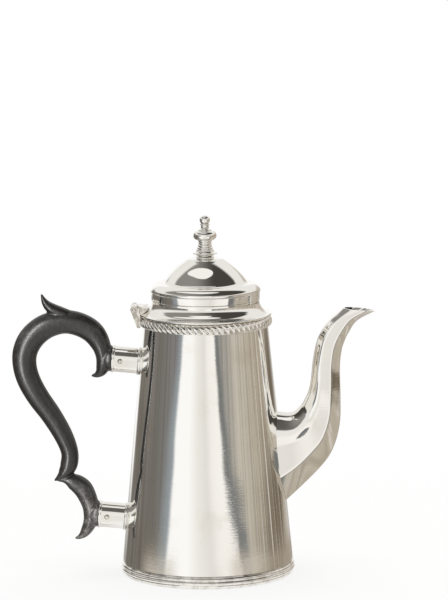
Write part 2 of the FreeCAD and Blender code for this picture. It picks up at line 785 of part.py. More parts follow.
def make_lid_dome():
    """Step and bell of the lid, with a hole for the finial's stud."""
    wall = size["lid_wall"]
    neck, rim = lid_neck_radius, size["body_rim_radius"]
    step, step_z = rim - size["lid_step_in"], lid_seat + size["lid_step_rise"]
    shoulder, shoulder_z = rim - size["lid_shoulder_in"], lid_seat + size["lid_shoulder_rise"]
    bell, bell_z = rim - size["lid_bell_in"], lid_seat + size["lid_bell_rise"]
    waist, waist_z = rim - size["lid_waist_in"], lid_seat + size["lid_waist_rise"]
    crown = size["finial_base_radius"]
    step_bow, bell_bow, crown_bow = size["lid_step_bow"], size["lid_bell_bow"], size["lid_crown_bow"]
    lean = wall * INSIDE_LEAN
    return turned("lid_dome", (
        (neck, lid_neck),
        (step, step_z, step_bow),
        (shoulder, shoulder_z),
        (bell, bell_z, -bell_bow),
        (waist, waist_z, crown_bow),
        (crown, lid_top),
        (stud_bore, lid_top),
        (stud_bore, washer_top),
        (crown, washer_top, -crown_bow),
        (waist - lean, waist_z - lean, bell_bow),
        (bell - lean, bell_z - lean),
        (shoulder - lean, shoulder_z - wall, -step_bow),
        (step - wall, step_z),
        (neck - wall, lid_neck),
    ))


def make_lid_bezel():
    """Ring under the lid that drops into the mouth."""
    return turned("lid_bezel", (
        (bezel_radius - size["bezel_wall"], rim_top - size["bezel_depth"]),
        (bezel_radius, rim_top - size["bezel_depth"]),
        (bezel_radius, lid_seat),
        (bezel_radius - size["bezel_wall"], lid_seat),
    ))


def make_finial():
    """Turned baluster finial with its stud."""
    flange = size["finial_flange_radius"]
    flange_z = lid_top + size["finial_flange_rise"]
    collar, collar_z = size["finial_collar_radius"], lid_top + size["finial_collar_rise"]
    waist, waist_z = size["finial_waist_radius"], lid_top + size["finial_waist_rise"]
    throat, throat_z = size["finial_throat_radius"], lid_top + size["finial_throat_rise"]
    bulb, bulb_z = size["finial_bulb_radius"], lid_top + size["finial_bulb_rise"]
    cap, cap_z = size["finial_cap_radius"], lid_top + size["finial_cap_rise"]
    neck, neck_z = size["finial_neck_radius"], lid_top + size["finial_neck_rise"]
    bud, bud_z = size["finial_bud_radius"], lid_top + size["finial_bud_rise"]
    top = lid_top + size["finial_height"]
    edge, rounding = size["finial_flange_edge"], size["finial_round"]
    hollow, swell = size["finial_hollow"], size["finial_swell"]
    return turned("finial", (
        (0, stud_bottom),
        (size["stud_radius"], stud_bottom),
        (size["stud_radius"], lid_top),
        (size["finial_base_radius"], lid_top, -hollow),
        (flange, flange_z, rounding),
        (flange, flange_z + edge, -hollow),
        (collar, collar_z, rounding),
        (collar, collar_z + edge, -rounding),
        (waist, waist_z, -hollow),
        (throat, throat_z, swell),
        (bulb, bulb_z, swell),
        (cap, cap_z, rounding),
        (cap, cap_z + edge, -hollow),
        (neck, neck_z, size["finial_bud_swell"]),
        (bud, bud_z, swell),
        (size["finial_tip_radius"], top - size["finial_tip_height"]),
        (0, top),
    ))


def make_finial_washer():
    """Washer between the inside of the lid and the finial's nut."""
    return turned("finial_washer", (
        (stud_bore, nut_top),
        (size["washer_radius"], nut_top),
        (size["washer_radius"], washer_top),
        (stud_bore, washer_top),
    ))


def make_finial_nut():
    """Six-sided nut on the finial's stud."""
    nut = doc.addObject("Part::Prism", "finial_nut_blank")
    nut.Polygon = NUT_SIDES
    tie(nut, "Circumradius", size["nut_radius"])
    tie(nut, "Height", size["nut_height"])
    hole = doc.addObject("Part::Cylinder", "finial_nut_hole")
    tie(hole, "Radius", stud_bore)
    tie(hole, "Height", size["nut_height"])
    piece = doc.addObject("Part::Cut", "finial_nut")
    piece.Base = nut
    piece.Tool = hole
    tie(piece, ".Placement.Base.z", nut_top - size["nut_height"])
    return piece


def make_hinge_body_leaf():
    """Leaf that stands on the rope border, with the two outer knuckles."""
    barrel = size["hinge_barrel_radius"]
    slant = barrel * math.cos(math.pi / 4)
    inside = -rope_radius + size["rope_proud"]
    body = doc.addObject("PartDesign::Body", "hinge_body_leaf")
    pad_across(body, (
        (hinge_x - barrel, hinge_z),
        (-rope_radius - size["hinge_foot"], rope_bottom),
        (inside, rope_bottom),
        (inside, rim_top),
        (-rope_radius, rim_top),
        (hinge_x + slant, hinge_z - slant, barrel * QUARTER_BOW),
        (hinge_x + slant, hinge_z + slant, barrel * QUARTER_BOW),
        (hinge_x - slant, hinge_z + slant, barrel * EIGHTH_BOW),
    ), size["hinge_width"], "body_leaf")
    room = barrel + size["hinge_clearance"]
    gap = size["hinge_knuckle"] + size["hinge_side_gap"] * 2
    cut_across(body, room, hinge_x, hinge_z, gap, "body_leaf_gap")
    cut_across(body, hinge_bore, hinge_x, hinge_z, size["hinge_width"] * 2, "body_leaf_bore")
    seat = sketch_on(body, "XY_Plane", "body_leaf_seat_outline")
    ring_outline(seat, rope_radius + size["seat_gap"])
    pocket = body.newObject("PartDesign::Pocket", "body_leaf_seat")
    pocket.Profile = seat
    pocket.Reversed = True
    tie(pocket, "Length", rim_top)
    body.Tip = pocket
    return body


def make_hinge_lid_leaf():
    """Leaf soldered to the lid's flare, with the middle knuckle."""
    barrel = size["hinge_barrel_radius"]
    top = hinge_z + size["lid_leaf_height"]
    tip = hinge_x + size["lid_leaf_reach"]
    start = hinge_x + barrel + size["hinge_clearance"]
    low = lid_seat + size["lid_flange_edge"]
    body = doc.addObject("PartDesign::Body", "hinge_lid_leaf")
    leaf = (
        (start, low),
        (tip, low),
        (tip, top - size["lid_leaf_tip"]),
        (start, top),
    )
    pad_across(body, leaf, size["lid_leaf_width"], "lid_leaf")
    pad_across(body, (
        (hinge_x, hinge_z - barrel, barrel * QUARTER_BOW),
        (hinge_x + barrel, hinge_z),
        (start + barrel, hinge_z),
        (start + barrel, hinge_z + size["lid_leaf_tip"]),
        (hinge_x, hinge_z + barrel, barrel * QUARTER_BOW),
        (hinge_x - barrel, hinge_z, barrel * QUARTER_BOW),
    ), size["hinge_knuckle"], "lid_knuckle")
    seat = sketch_on(body, "XZ_Plane", "lid_leaf_seat_outline")
    outline(seat, skirt_corners(((0, lid_neck), (0, lid_seat))))
    turn(body, "Groove", seat, "lid_leaf_seat")
    cut_across(body, hinge_bore, hinge_x, hinge_z, size["hinge_width"] * 2, "lid_leaf_bore")
    return body


def make_hinge_pin():
    """Hinge pin with domed ends."""
    body = doc.addObject("PartDesign::Body", "hinge_pin")
    profile = sketch_on(body, "XZ_Plane", "hinge_pin_profile")
    half = size["hinge_width"] / 2
    tip = half + size["hinge_pin_end"]
    radius = size["hinge_pin_radius"]
    flat = radius * DOME_FLAT
    bow = size["hinge_pin_end"] * DOME_BOW
    outline(profile, (
        (0, -tip),
        (flat, -tip, bow),
        (radius, -half),
        (radius, half, bow),
        (flat, tip),
        (0, tip),
    ))
    turn(body, "Revolution", profile, "hinge_pin_turn")
    body.Placement.Rotation = FreeCAD.Rotation(FreeCAD.Vector(1, 0, 0), RIGHT_ANGLE)
    tie(body, ".Placement.Base.x", hinge_x)
    tie(body, ".Placement.Base.z", hinge_z)
    return body


def make_pieces():
    """Every piece of the pot, in the order in which it goes together."""
    return (
        make_foot_ring(),
        make_base_plate(),
        make_body_shell(),
        make_rope_border(),
        make_spout(),
        make_socket("upper_socket", upper),
        make_socket("lower_socket", lower),
        make_socket_rim("upper_socket_rim", upper),
        make_socket_rim("lower_socket_rim", lower),
        make_handle(),
        make_rivet("upper_handle_pin", upper),
        make_rivet("lower_handle_pin", lower),
        make_hinge_body_leaf(),
        make_hinge_lid_leaf(),
        make_hinge_pin(),
        make_lid_skirt(),
        make_lid_dome(),
        make_lid_bezel(),
        make_finial(),
        make_finial_washer(),
        make_finial_nut(),
    )


pieces = make_pieces()
doc.recompute()

for thing in doc.Objects:
    if "Invalid" in thing.State or "Error" in thing.State:
        raise RuntimeError(f"{thing.Label} could not be made: {thing.State}")
for piece in pieces:
    if piece.Shape.isNull() or not piece.Shape.isValid():
        raise RuntimeError(f"{piece.Label} has no sound solid")

os.makedirs("parts", exist_ok=True)
for piece in pieces:
    piece.Shape.exportStep(os.path.join("parts", f"{piece.Label}.step"))
    print(piece.Label, len(piece.Shape.Solids), round(piece.Shape.Volume, 1))
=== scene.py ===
import math

import bpy
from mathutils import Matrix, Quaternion, Vector


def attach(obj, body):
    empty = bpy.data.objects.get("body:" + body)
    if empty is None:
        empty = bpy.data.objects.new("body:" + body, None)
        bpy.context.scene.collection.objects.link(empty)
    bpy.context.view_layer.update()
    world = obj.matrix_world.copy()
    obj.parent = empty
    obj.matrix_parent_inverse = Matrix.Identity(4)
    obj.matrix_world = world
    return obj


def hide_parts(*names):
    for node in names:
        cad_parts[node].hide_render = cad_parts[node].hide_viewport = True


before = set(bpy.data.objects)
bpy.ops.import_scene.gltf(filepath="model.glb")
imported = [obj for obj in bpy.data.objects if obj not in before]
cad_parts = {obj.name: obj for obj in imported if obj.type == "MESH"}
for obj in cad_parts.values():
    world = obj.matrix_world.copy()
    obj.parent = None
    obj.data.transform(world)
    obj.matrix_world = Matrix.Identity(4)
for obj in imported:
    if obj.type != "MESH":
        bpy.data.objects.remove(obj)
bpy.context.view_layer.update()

bl_info = {
    "name": "Silver Coffee Pot",
    "version": (1, 0, 0),
    "blender": (4, 5, 0),
    "location": "3D View > Sidebar > Coffee Pot",
    "description": "Dresses the tapered coffee pot: silver, rope border, faceted spout and carved handle",
    "category": "Object",
}

MM = 0.001
ON_AXIS = 0.001 * MM
ACROSS = Vector((0.0, 1.0, 0.0))


def share(name, description, number, **more):
    """A number property, without a unit unless more gives one."""
    return bpy.props.FloatProperty(name=name, description=description, default=number, **more)


def length(name, description, millimetres):
    """A length property, given in millimetres and kept in metres."""
    return share(name, description, millimetres * MM, unit="LENGTH", subtype="DISTANCE", precision=5)


def angle(name, description, degrees):
    """An angle property, given in degrees."""
    return share(name, description, math.radians(degrees), unit="ROTATION", subtype="ANGLE")


def count(name, description, number):
    """A whole-number property."""
    return bpy.props.IntProperty(name=name, description=description, default=number, min=1)


def colour(name, description, rgb):
    """A colour property, linear."""
    return bpy.props.FloatVectorProperty(
        name=name, description=description, default=rgb, size=3, min=0.0, max=1.0, subtype="COLOR",
    )


class PotBodySizes(bpy.types.PropertyGroup):
    """Wall, foot, rope border and handle sockets."""

    foot_radius: length("Foot radius", "Bead at the bottom of the foot", 55.5)
    foot_bore: length("Foot bore", "Inside of the foot ring", 50.0)
    foot_height: length("Foot height", "From the table to the wall", 8.0)
    low_reed: length("Low reed", "Height of the lowest reed of the foot", 2.2)
    middle_reed: length("Middle reed", "Height of the middle reed", 2.5)
    top_reed: length("Top reed", "Height of the top reed", 2.7)
    reed_bow: length("Reed bow", "How far a reed swells", 0.8)
    plate_seat: length("Plate seat", "Radius of the recess for the base plate", 53.6)
    plate_thickness: length("Plate thickness", "Base plate", 1.2)
    base_radius: length("Base radius", "Outside of the wall at the foot", 54.2)
    rim_radius: length("Rim radius", "Outside of the wall at the rim", 39.1)
    rim_height: length("Rim height", "Top of the wall above the table", 165.0)
    wall: length("Wall", "Silver sheet of the wall", 1.2)
    rope_height: length("Rope height", "Rope border, top to bottom", 6.5)
    rope_proud: length("Rope proud", "How far the rope stands off the wall", 2.6)
    rope_core: length("Rope core", "How far the grooves between strands stand off the wall", 1.1)
    rope_strands: count("Rope strands", "Strands round the rim", 64)
    rope_slant: angle("Rope slant", "Slant of the strands from upright", 35.0)
    socket_radius: length("Socket radius", "Outside of a handle socket", 8.2)
    socket_wall: length("Socket wall", "Silver sheet of a socket", 0.9)
    socket_length: length("Socket length", "From the wall to the socket's mouth", 18.0)
    upper_socket: length("Upper socket", "Height of the upper socket on the wall", 136.0)
    lower_socket: length("Lower socket", "Height of the lower socket on the wall", 35.7)


class PotLidSizes(bpy.types.PropertyGroup):
    """Lid and finial, all rises from the closed lid's seat."""

    seat: length("Seat", "Underside of the closed lid's flange above the table", 165.3)
    wall: length("Wall", "Silver sheet of the lid", 1.0)
    flange_radius: length("Flange radius", "Outside of the flange", 41.8)
    flange_edge: length("Flange edge", "Thickness of the flange's edge", 1.5)
    sweep_radius: length("Sweep radius", "Middle of the hollow sweep above the flange", 36.5)
    sweep_rise: length("Sweep rise", "From the seat to the middle of the sweep", 4.4)
    neck_radius: length("Neck radius", "Top of the sweep, at the foot of the upright step", 34.4)
    neck_rise: length("Neck rise", "From the seat to the foot of the step", 10.2)
    step_radius: length("Step radius", "Top of the upright step", 34.8)
    step_rise: length("Step rise", "From the seat to the top of the upright step", 15.6)
    roll: length("Roll", "Height of the rounded edge over the step", 1.4)
    shoulder_radius: length("Shoulder radius", "Inner edge of the step", 28.0)
    shoulder_rise: length("Shoulder rise", "From the seat to the inner edge of the step", 20.9)
    bell_radius: length("Bell radius", "Foot of the bell", 26.2)
    bell_rise: length("Bell rise", "From the seat to the foot of the bell", 21.9)
    crown_radius: length("Crown radius", "Edge of the bell's flat crown", 12.2)
    crown_rise: length("Crown rise", "From the seat to the top of the bell", 36.0)
    bezel_inner: length("Bezel inner", "Inside of the ring that drops into the mouth", 36.0)
    finial_scale: share("Finial scale", "Scale of the finial's profile", 1.0)


class PotSpoutSizes(bpy.types.PropertyGroup):
    """Swan-neck spout."""

    height: length("Height", "Middle of the root above the table", 75.2)
    reach: length("Reach", "Tip of the beak, out from the wall", 59.7)
    rise: length("Rise", "Back of the beak above the middle of the root", 96.2)
    width: length("Width", "Across the root", 31.0)
    wall: length("Wall", "Silver sheet of the spout", 1.3)


class PotHandleSizes(bpy.types.PropertyGroup):
    """Carved double-scroll handle."""

    reach: length("Reach", "Depth of the scroll, out from the sockets' mouths", 63.0)
    thickness: length("Thickness", "At the crown, in the plane of the scroll", 16.0)
    depth: length("Depth", "At the crown, across the scroll", 14.0)
    boss: length("Boss", "Radius of the wood where it meets a socket", 8.3)
    tenon: length("Tenon", "Length of the wood inside a socket", 13.0)
    grain: length("Carving grain", "Finest step of the carved surface", 0.5)


class PotFinishes(bpy.types.PropertyGroup):
    """Colours and wear of the metal and the wood, with painted shade in the silver's grooves and a painted
    sheen on the wood.
    """

    silver: colour("Silver", "Polished silver", (0.96, 0.945, 0.91))
    tarnish: colour("Tarnish", "Thin tarnish on the silver", (0.74, 0.67, 0.56))
    # Dark colour laid in grooves and between the rope's strands, partly tarnish and partly painted shade,
    # and at random on dull pieces as tarnish.
    shade_and_tarnish: colour("Soot", "Dark tarnish left in grooves", (0.16, 0.13, 0.10))
    ebony: colour("Ebony", "Ebonised wood", (0.009, 0.008, 0.007))
    # Pale wood colour for the grain, the worn black and the painted sheen.
    worn_and_sheen_wood: colour("Worn wood", "Wood where the black has worn", (0.24, 0.225, 0.21))
    polish: share("Polish", "Roughness of the polished silver", 0.03)
    haze: share("Haze", "How far the thin tarnish shows", 0.35)
    # How strongly grooves are darkened: tarnish with painted shade.
    groove_shade_and_tarnish: share("Grime", "How far the soot in grooves shows", 0.75)


class PotStage(bpy.types.PropertyGroup):
    """Camera."""

    distance: length("Distance", "From the camera to the point it looks at", 2250.0)
    aim_height: length("Aim height", "Height of the point that the camera looks at", 174.5)
    aim_side: length("Aim side", "That point to the right of the pot's axis", 11.7)
    elevation: angle("Elevation", "Camera above that point", 8.8)
    roll: angle("Roll", "Turn of the camera about its view", -0.5)
    lens: share("Lens", "Focal length in millimetres", 213.6)


class Flow:
    """A shader socket that takes part in Python expressions."""

    def __init__(self, paint, socket):
        self.paint = paint
        self.socket = socket

    def maths(self, operation, *others):
        """A Math node on this value and others."""
        return self.paint.node("ShaderNodeMath", {"operation": operation}, [self, *others])

    def __add__(self, other):
        return self.maths("ADD", other)

    def __sub__(self, other):
        return self.maths("SUBTRACT", other)

    def __rsub__(self, other):
        return self.paint.node("ShaderNodeMath", {"operation": "SUBTRACT"}, [other, self])

    def __mul__(self, other):
        return self.maths("MULTIPLY", other)

    def __truediv__(self, other):
        return self.maths("DIVIDE", other)

    def __pow__(self, other):
        return self.maths("POWER", other)

    __radd__ = __add__
    __rmul__ = __mul__

    def band(self, low, high):
        """Rises smoothly from 0 at low to 1 at high."""
        settings = {"interpolation_type": "SMOOTHSTEP"}
        inputs = {"Value": self, "From Min": low, "From Max": high}
        return self.paint.node("ShaderNodeMapRange", settings, inputs)


class Paint:
    """A node tree that is written as expressions."""

    def __init__(self, tree):
        self.tree = tree
        tree.nodes.clear()

    def node(self, kind, settings=None, inputs=None, output=0):
        """Adds a node: its settings first, then the values or links of its sockets."""
        made = self.tree.nodes.new(kind)
        for name, value in (settings or {}).items():
            if name == "stops":
                self.set_stops(made.color_ramp, value)
            else:
                setattr(made, name, value)
        pairs = inputs.items() if isinstance(inputs, dict) else enumerate(inputs or ())
        for key, value in pairs:
            self.feed(made.inputs[key], value)
        return Flow(self, made.outputs[output]) if made.outputs else made

    def feed(self, socket, value):
        """Links a flow to a socket, or sets its value."""
        if isinstance(value, Flow):
            self.tree.links.new(value.socket, socket)
        elif socket.type == "RGBA":
            socket.default_value = (*value[:3], 1.0)
        else:
            socket.default_value = value

    @staticmethod
    def set_stops(ramp, stops):
        """Sets a ramp's stops as (place, colour)."""
        while len(ramp.elements) > 1:
            ramp.elements.remove(ramp.elements[-1])
        for i, (place, rgb) in enumerate(stops):
            element = ramp.elements[0] if i == 0 else ramp.elements.new(place)
            element.position = place
            element.color = (*rgb, 1.0)

    def mix(self, factor, first, second):
        """A colour between two colours."""
        return self.node("ShaderNodeMix", {"data_type": "RGBA"}, {0: factor, 6: first, 7: second}, 2)

    def place(self):
        """Position on the object."""
        return self.node("ShaderNodeTexCoord", output="Object")

    def parts(self, vector):
        """The three components of a vector."""
        made = self.tree.nodes.new("ShaderNodeSeparateXYZ")
        self.feed(made.inputs[0], vector)
        return [Flow(self, made.outputs[i]) for i in range(3)]

    def vector(self, x, y, z):
        """A vector from three values."""
        return self.node("ShaderNodeCombineXYZ", None, [x, y, z])

    def noise(self, vector, scale, detail, roughness):
        """Soft noise from 0 to 1."""
        inputs = {"Vector": vector, "Scale": scale, "Detail": detail, "Roughness": roughness}
        return self.node("ShaderNodeTexNoise", None, inputs)

    def mark(self, name):
        """A value that a piece's points carry."""
        return self.node("ShaderNodeAttribute", {"attribute_name": name}, output="Fac")

    def ray(self, kind):
        """1 for rays of one kind, 0 for others."""
        return self.node("ShaderNodeLightPath", output=f"Is {kind} Ray")

    def bearing(self, ahead, aside):
        """Angle of a direction from ahead, towards aside, in radians."""
        return self.node("ShaderNodeMath", {"operation": "ARCTAN2"}, [aside, ahead])

    def ramp(self, factor, stops):
        """A colour from stops of (place, colour)."""
        return self.node("ShaderNodeValToRGB", {"stops": stops}, [factor])

    def bump(self, height, strength, distance):
        """A normal from a height."""
        inputs = {"Height": height, "Strength": strength, "Distance": distance}
        return self.node("ShaderNodeBump", None, inputs)


def new_paint(name):
    """A fresh material and its node tree."""
    material = bpy.data.materials.new(name)
    material.use_nodes = True
    return material, Paint(material.node_tree)


def finish_surface(paint, settings):
    """Ends a material in a Principled shader."""
    shader = paint.node("ShaderNodeBsdfPrincipled", None, settings)
    paint.node("ShaderNodeOutputMaterial", None, {"Surface": shader})


def silver_material(name, finishes, turned=True, dull=0.0, grit=38.0, vessel=None):
    """Polished silver: thin tarnish, fine scratches, turning lines, and a matt inside on a vessel."""
    material, paint = new_paint(name)
    place = paint.place()
    x, y, z = paint.parts(place)
    radius = (x * x + y * y) ** 0.5
    cloud = paint.noise(place, grit, 4.0, 0.6)
    haze = cloud.band(0.48, 0.80)
    tone = paint.mix(haze * finishes.haze + dull * 0.8, finishes.silver, finishes.tarnish)
    # Grooves are darkened with tarnish and painted shade; dull pieces also get random dark tarnish.
    shade_and_tarnish = paint.mark("groove").band(0.20, 1.0) * finishes.groove_shade_and_tarnish + cloud.band(0.42, 0.60) * dull
    tone = paint.mix(shade_and_tarnish, tone, finishes.shade_and_tarnish)
    turning = paint.vector(paint.bearing(x, y) * 9.0, z * 130.0, radius * 130.0)
    hairs = paint.noise(turning, 5.0, 3.0, 0.7)
    wiping = paint.vector(x * 60.0 + z * 900.0, y * 60.0 - z * 700.0, z * 40.0)
    scratches = paint.noise(wiping, 1.6, 2.0, 0.6)
    waves = paint.noise(place, 16.0, 1.0, 0.4)
    height = hairs * 0.35 + scratches * 0.3 + waves * 30.0 if turned else scratches + waves * 15.0
    rough = finishes.polish + dull * 0.12 + haze * 0.05 + hairs.band(0.55, 0.85) * 0.05
    metal = 1.0
    if vessel:
        depth = wall_radius(vessel, z) - radius
        inside = depth.band(0.3 * vessel.wall, 0.8 * vessel.wall)
        tone = paint.mix(inside * 0.8, tone, finishes.tarnish)
        rough = rough + inside * 0.4
        metal = 1.0 - inside * 0.6
    finish_surface(paint, {
        "Base Color": tone,
        "Metallic": metal,
        "Roughness": rough,
        "Normal": paint.bump(height, 0.05, 0.2 * MM),
    })
    return material


def ebony_material(finishes):
    """Ebonised wood: fine pores along the grain, greyer where hands have worn it, with a painted sheen
    along the ridges and on faces that turn to the front and back.
    """
    material, paint = new_paint("ebonised_wood")
    place = paint.place()
    x, y, z = paint.parts(place)
    grain = paint.noise(paint.vector(x * 900.0, y * 900.0, z * 60.0), 1.0, 3.0, 0.6)
    cloud = paint.noise(place, 60.0, 4.0, 0.6)
    scuffs = paint.noise(place, 420.0, 3.0, 0.7).band(0.42, 0.62)
    # Lighter where the black has worn and where a sheen is painted.
    wear_and_sheen = paint.mark("worn") * (0.2 + scuffs * 0.8) + cloud.band(0.55, 0.85) * 0.06
    tone = paint.mix(wear_and_sheen, finishes.ebony, finishes.worn_and_sheen_wood)
    tone = paint.mix(grain.band(0.55, 0.8) * 0.12, tone, finishes.worn_and_sheen_wood)
    finish_surface(paint, {
        "Base Color": tone,
        "Roughness": 0.22 + grain * 0.10 + cloud * 0.10,
        "Normal": paint.bump(grain * 0.7 + cloud * 0.3, 0.12, 0.4 * MM),
        "Specular IOR Level": 0.6,
        "Coat Weight": 0.3,
        "Coat Roughness": 0.25,
    })
    return material


def arc(start, end, bow, steps):
    """Points from start, up to but without end, on an arc that bows to the right of the way."""
    along = end - start
    outwards = Vector((along.y, -along.x)).normalized() * math.copysign(1.0, bow)
    depth = abs(bow)
    half_chord = along.length / 2
    radius = (half_chord ** 2 + depth ** 2) / (2 * depth)
    centre = (start + end) / 2 + outwards * (depth - radius)
    half_angle = math.acos(max(-1.0, min(1.0, (radius - depth) / radius)))
    along = along.normalized()
    points = []
    for i in range(steps):
        turn = half_angle * (2 * i / steps - 1)
        points.append(centre + outwards * radius * math.cos(turn) + along * radius * math.sin(turn))
    return points


def profile(corners, steps=14):
    """A closed outline from corners of radius and height; a third entry bows the side that leaves it."""
    points = []
    for i, corner in enumerate(corners):
        start = Vector(corner[:2])
        end = Vector(corners[(i + 1) % len(corners)][:2])
        if len(corner) > 2:
            points.extend(arc(start, end, corner[2], steps))
        else:
            points.append(start)
    return points


def rounded(first, corner, last, steps):
    """Points from first to last on a curve that rounds the corner between them."""
    points = []
    for k in range(steps + 1):
        t = k / steps
        points.append(first * (1 - t) ** 2 + corner * 2 * t * (1 - t) + last * t ** 2)
    return points


def soften(points, radius, least_turn=0.35, most_of_side=0.45, steps=4):
    """Rounds the sharp corners of a closed outline."""
    soft = []
    for i, point in enumerate(points):
        before = points[i - 1] - point
        after = points[(i + 1) % len(points)] - point
        turn = math.pi - before.angle(after, math.pi)
        if turn < least_turn or point.x < ON_AXIS:
            soft.append(point)
            continue
        room = min(radius, before.length * most_of_side, after.length * most_of_side)
        first, last = point + before.normalized() * room, point + after.normalized() * room
        soft.extend(rounded(first, point, last, steps))
    return soft


def circle(steps):
    """Cosine and sine of even turns round a circle."""
    turns = [2 * math.pi * k / steps for k in range(steps)]
    return [(math.cos(turn), math.sin(turn)) for turn in turns]


def quilt(rings):
    """Faces from each ring of point numbers to the next; a ring of one point gives triangles."""
    faces = []
    for lower, upper in zip(rings, rings[1:]):
        for k in range(len(lower)):
            after = (k + 1) % len(lower)
            face = tuple(dict.fromkeys((lower[k], lower[after], upper[after], upper[k])))
            if len(face) > 2:
                faces.append(face)
    return faces


def mesh_object(name, points, faces):
    """A new smooth-shaded object from points and faces."""
    mesh = bpy.data.meshes.new(name)
    mesh.from_pydata([tuple(p) for p in points], [], faces)
    mesh.validate()
    mesh.shade_smooth()
    piece = bpy.data.objects.new(name, mesh)
    bpy.context.scene.collection.objects.link(piece)
    return piece


def mark(piece, name, values):
    """Keeps a value for each point of a piece, which its material reads."""
    layer = piece.data.attributes.new(name, "FLOAT", "POINT")
    layer.data.foreach_set("value", values)


def lathe(name, outline, segments=192, shade_and_tarnish=1.0, full_groove=0.5, spread=0.6):
    """Turns a closed outline about the pot's axis and marks its grooves for tarnish and painted shade.

    A hollow corner is a full groove from this sine of its turn on, and a share spreads to the next corners.
    """
    points, rings = [], []
    for corner in outline:
        if corner.x < ON_AXIS:
            rings.append([len(points)] * segments)
            points.append((0.0, 0.0, corner.y))
        else:
            rings.append(list(range(len(points), len(points) + segments)))
            points.extend((corner.x * c, corner.x * s, corner.y) for c, s in circle(segments))
    piece = mesh_object(name, points, quilt(rings + rings[:1]))
    hollows = []
    for i, corner in enumerate(outline):
        before, after = corner - outline[i - 1], outline[(i + 1) % len(outline)] - corner
        hollow = -before.normalized().cross(after.normalized()) / full_groove
        hollows.append(min(1.0, max(0.0, hollow)))
    # Darkness for tarnish and painted shade in each hollow corner and its neighbours.
    grooves = [0.0] * len(points)
    for i, ring in enumerate(rings):
        nearby = max(hollows[i - 1], hollows[(i + 1) % len(hollows)])
        for k in ring:
            grooves[k] = shade_and_tarnish * max(hollows[i], spread * nearby)
    mark(piece, "groove", grooves)
    return piece


def skin(name, rings, cap=True):
    """A skin through rings of points, closed round each ring."""
    points = [p for ring in rings for p in ring]
    size = len(rings[0])
    numbers = [range(start, start + size) for start in range(0, len(points), size)]
    faces = quilt(numbers)
    if cap:
        faces.append(tuple(reversed(numbers[0])))
        faces.append(tuple(numbers[-1]))
    return mesh_object(name, points, faces)


def between(t, a, b, c, d):
    """A value from b to c on a smooth curve through a, b, c and d (uniform Catmull-Rom)."""
    slope, bend, twist = c - a, 2 * a - 5 * b + 4 * c - d, 3 * b - a - 3 * c + d
    return 0.5 * (2 * b + slope * t + bend * t ** 2 + twist * t ** 3)


def smooth_line(knots, steps):
    """A smooth line through knots of any number of values."""
    before = [2 * a - b for a, b in zip(knots[0], knots[1])]
    beyond = [2 * a - b for a, b in zip(knots[-1], knots[-2])]
    padded = [before, *knots, beyond]
    line = []
    for i in range(len(knots) - 1):
        for k in range(steps):
            line.append([between(k / steps, *values) for values in zip(*padded[i:i + 4])])
    line.append(list(knots[-1]))
    return line


def settle(piece):
    """Replaces a piece's mesh by the one that its modifiers give."""
    graph = bpy.context.evaluated_depsgraph_get()
    mesh = bpy.data.meshes.new_from_object(piece.evaluated_get(graph))
    piece.modifiers.clear()
    old = piece.data
    piece.data = mesh
    mesh.name = piece.name
    bpy.data.meshes.remove(old)


def combine(piece, others, operation):
    """Joins other pieces to a piece or cuts them from it, and removes them."""
    for other in others:
        step = piece.modifiers.new(operation.lower(), "BOOLEAN")
        step.operation = operation
        step.solver = "EXACT"
        step.object = other
    settle(piece)
    for other in others:
        bpy.data.objects.remove(other)


def cover(piece, material):
    """Gives a piece one material all over."""
    piece.data.materials.clear()
    piece.data.materials.append(material)


def dress(piece, body, slot, material, *nodes, sharp=0.7):
    """Finishes a piece: its material, its body and the CAD nodes that it stands for; the slot is not used.
    """
    cover(piece, material)
    piece.data.shade_smooth()
    piece.data.set_sharp_from_angle(angle=sharp)
    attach(piece, body)
    if nodes:
        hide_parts(*nodes)


def coat(node, material, bevel, least_angle=0.6):
    """Gives a CAD node its material and a fine rounded edge."""
    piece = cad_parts[node]
    cover(piece, material)
    rounding = piece.modifiers.new("edges", "BEVEL")
    rounding.width = bevel
    rounding.segments = 3
    rounding.limit_method = "ANGLE"
    rounding.angle_limit = least_angle
    piece.modifiers.new("normals", "WEIGHTED_NORMAL")


def wall_radius(sizes, height):
    """Outside radius of the tapered wall at a height."""
    lean = (sizes.base_radius - sizes.rim_radius) / (sizes.rim_height - sizes.foot_height)
    return sizes.base_radius - (height - sizes.foot_height) * lean


def wall_cone(sizes):
    """A solid that fills the outside of the wall, for trimming what is soldered to it."""
    bottom, top = sizes.foot_height, sizes.rim_height
    corners = ((0, bottom), (sizes.base_radius, bottom), (sizes.rim_radius, top), (0, top))
    return lathe("wall_cone", [Vector(corner) for corner in corners], segments=256)


def socket_line(sizes, height):
    """Root of a socket on the wall and its outward direction."""
    slope = math.atan2(sizes.base_radius - sizes.rim_radius, sizes.rim_height - sizes.foot_height)
    root = Vector((-wall_radius(sizes, height), 0.0, height))
    return root, Vector((-math.cos(slope), 0.0, math.sin(slope)))


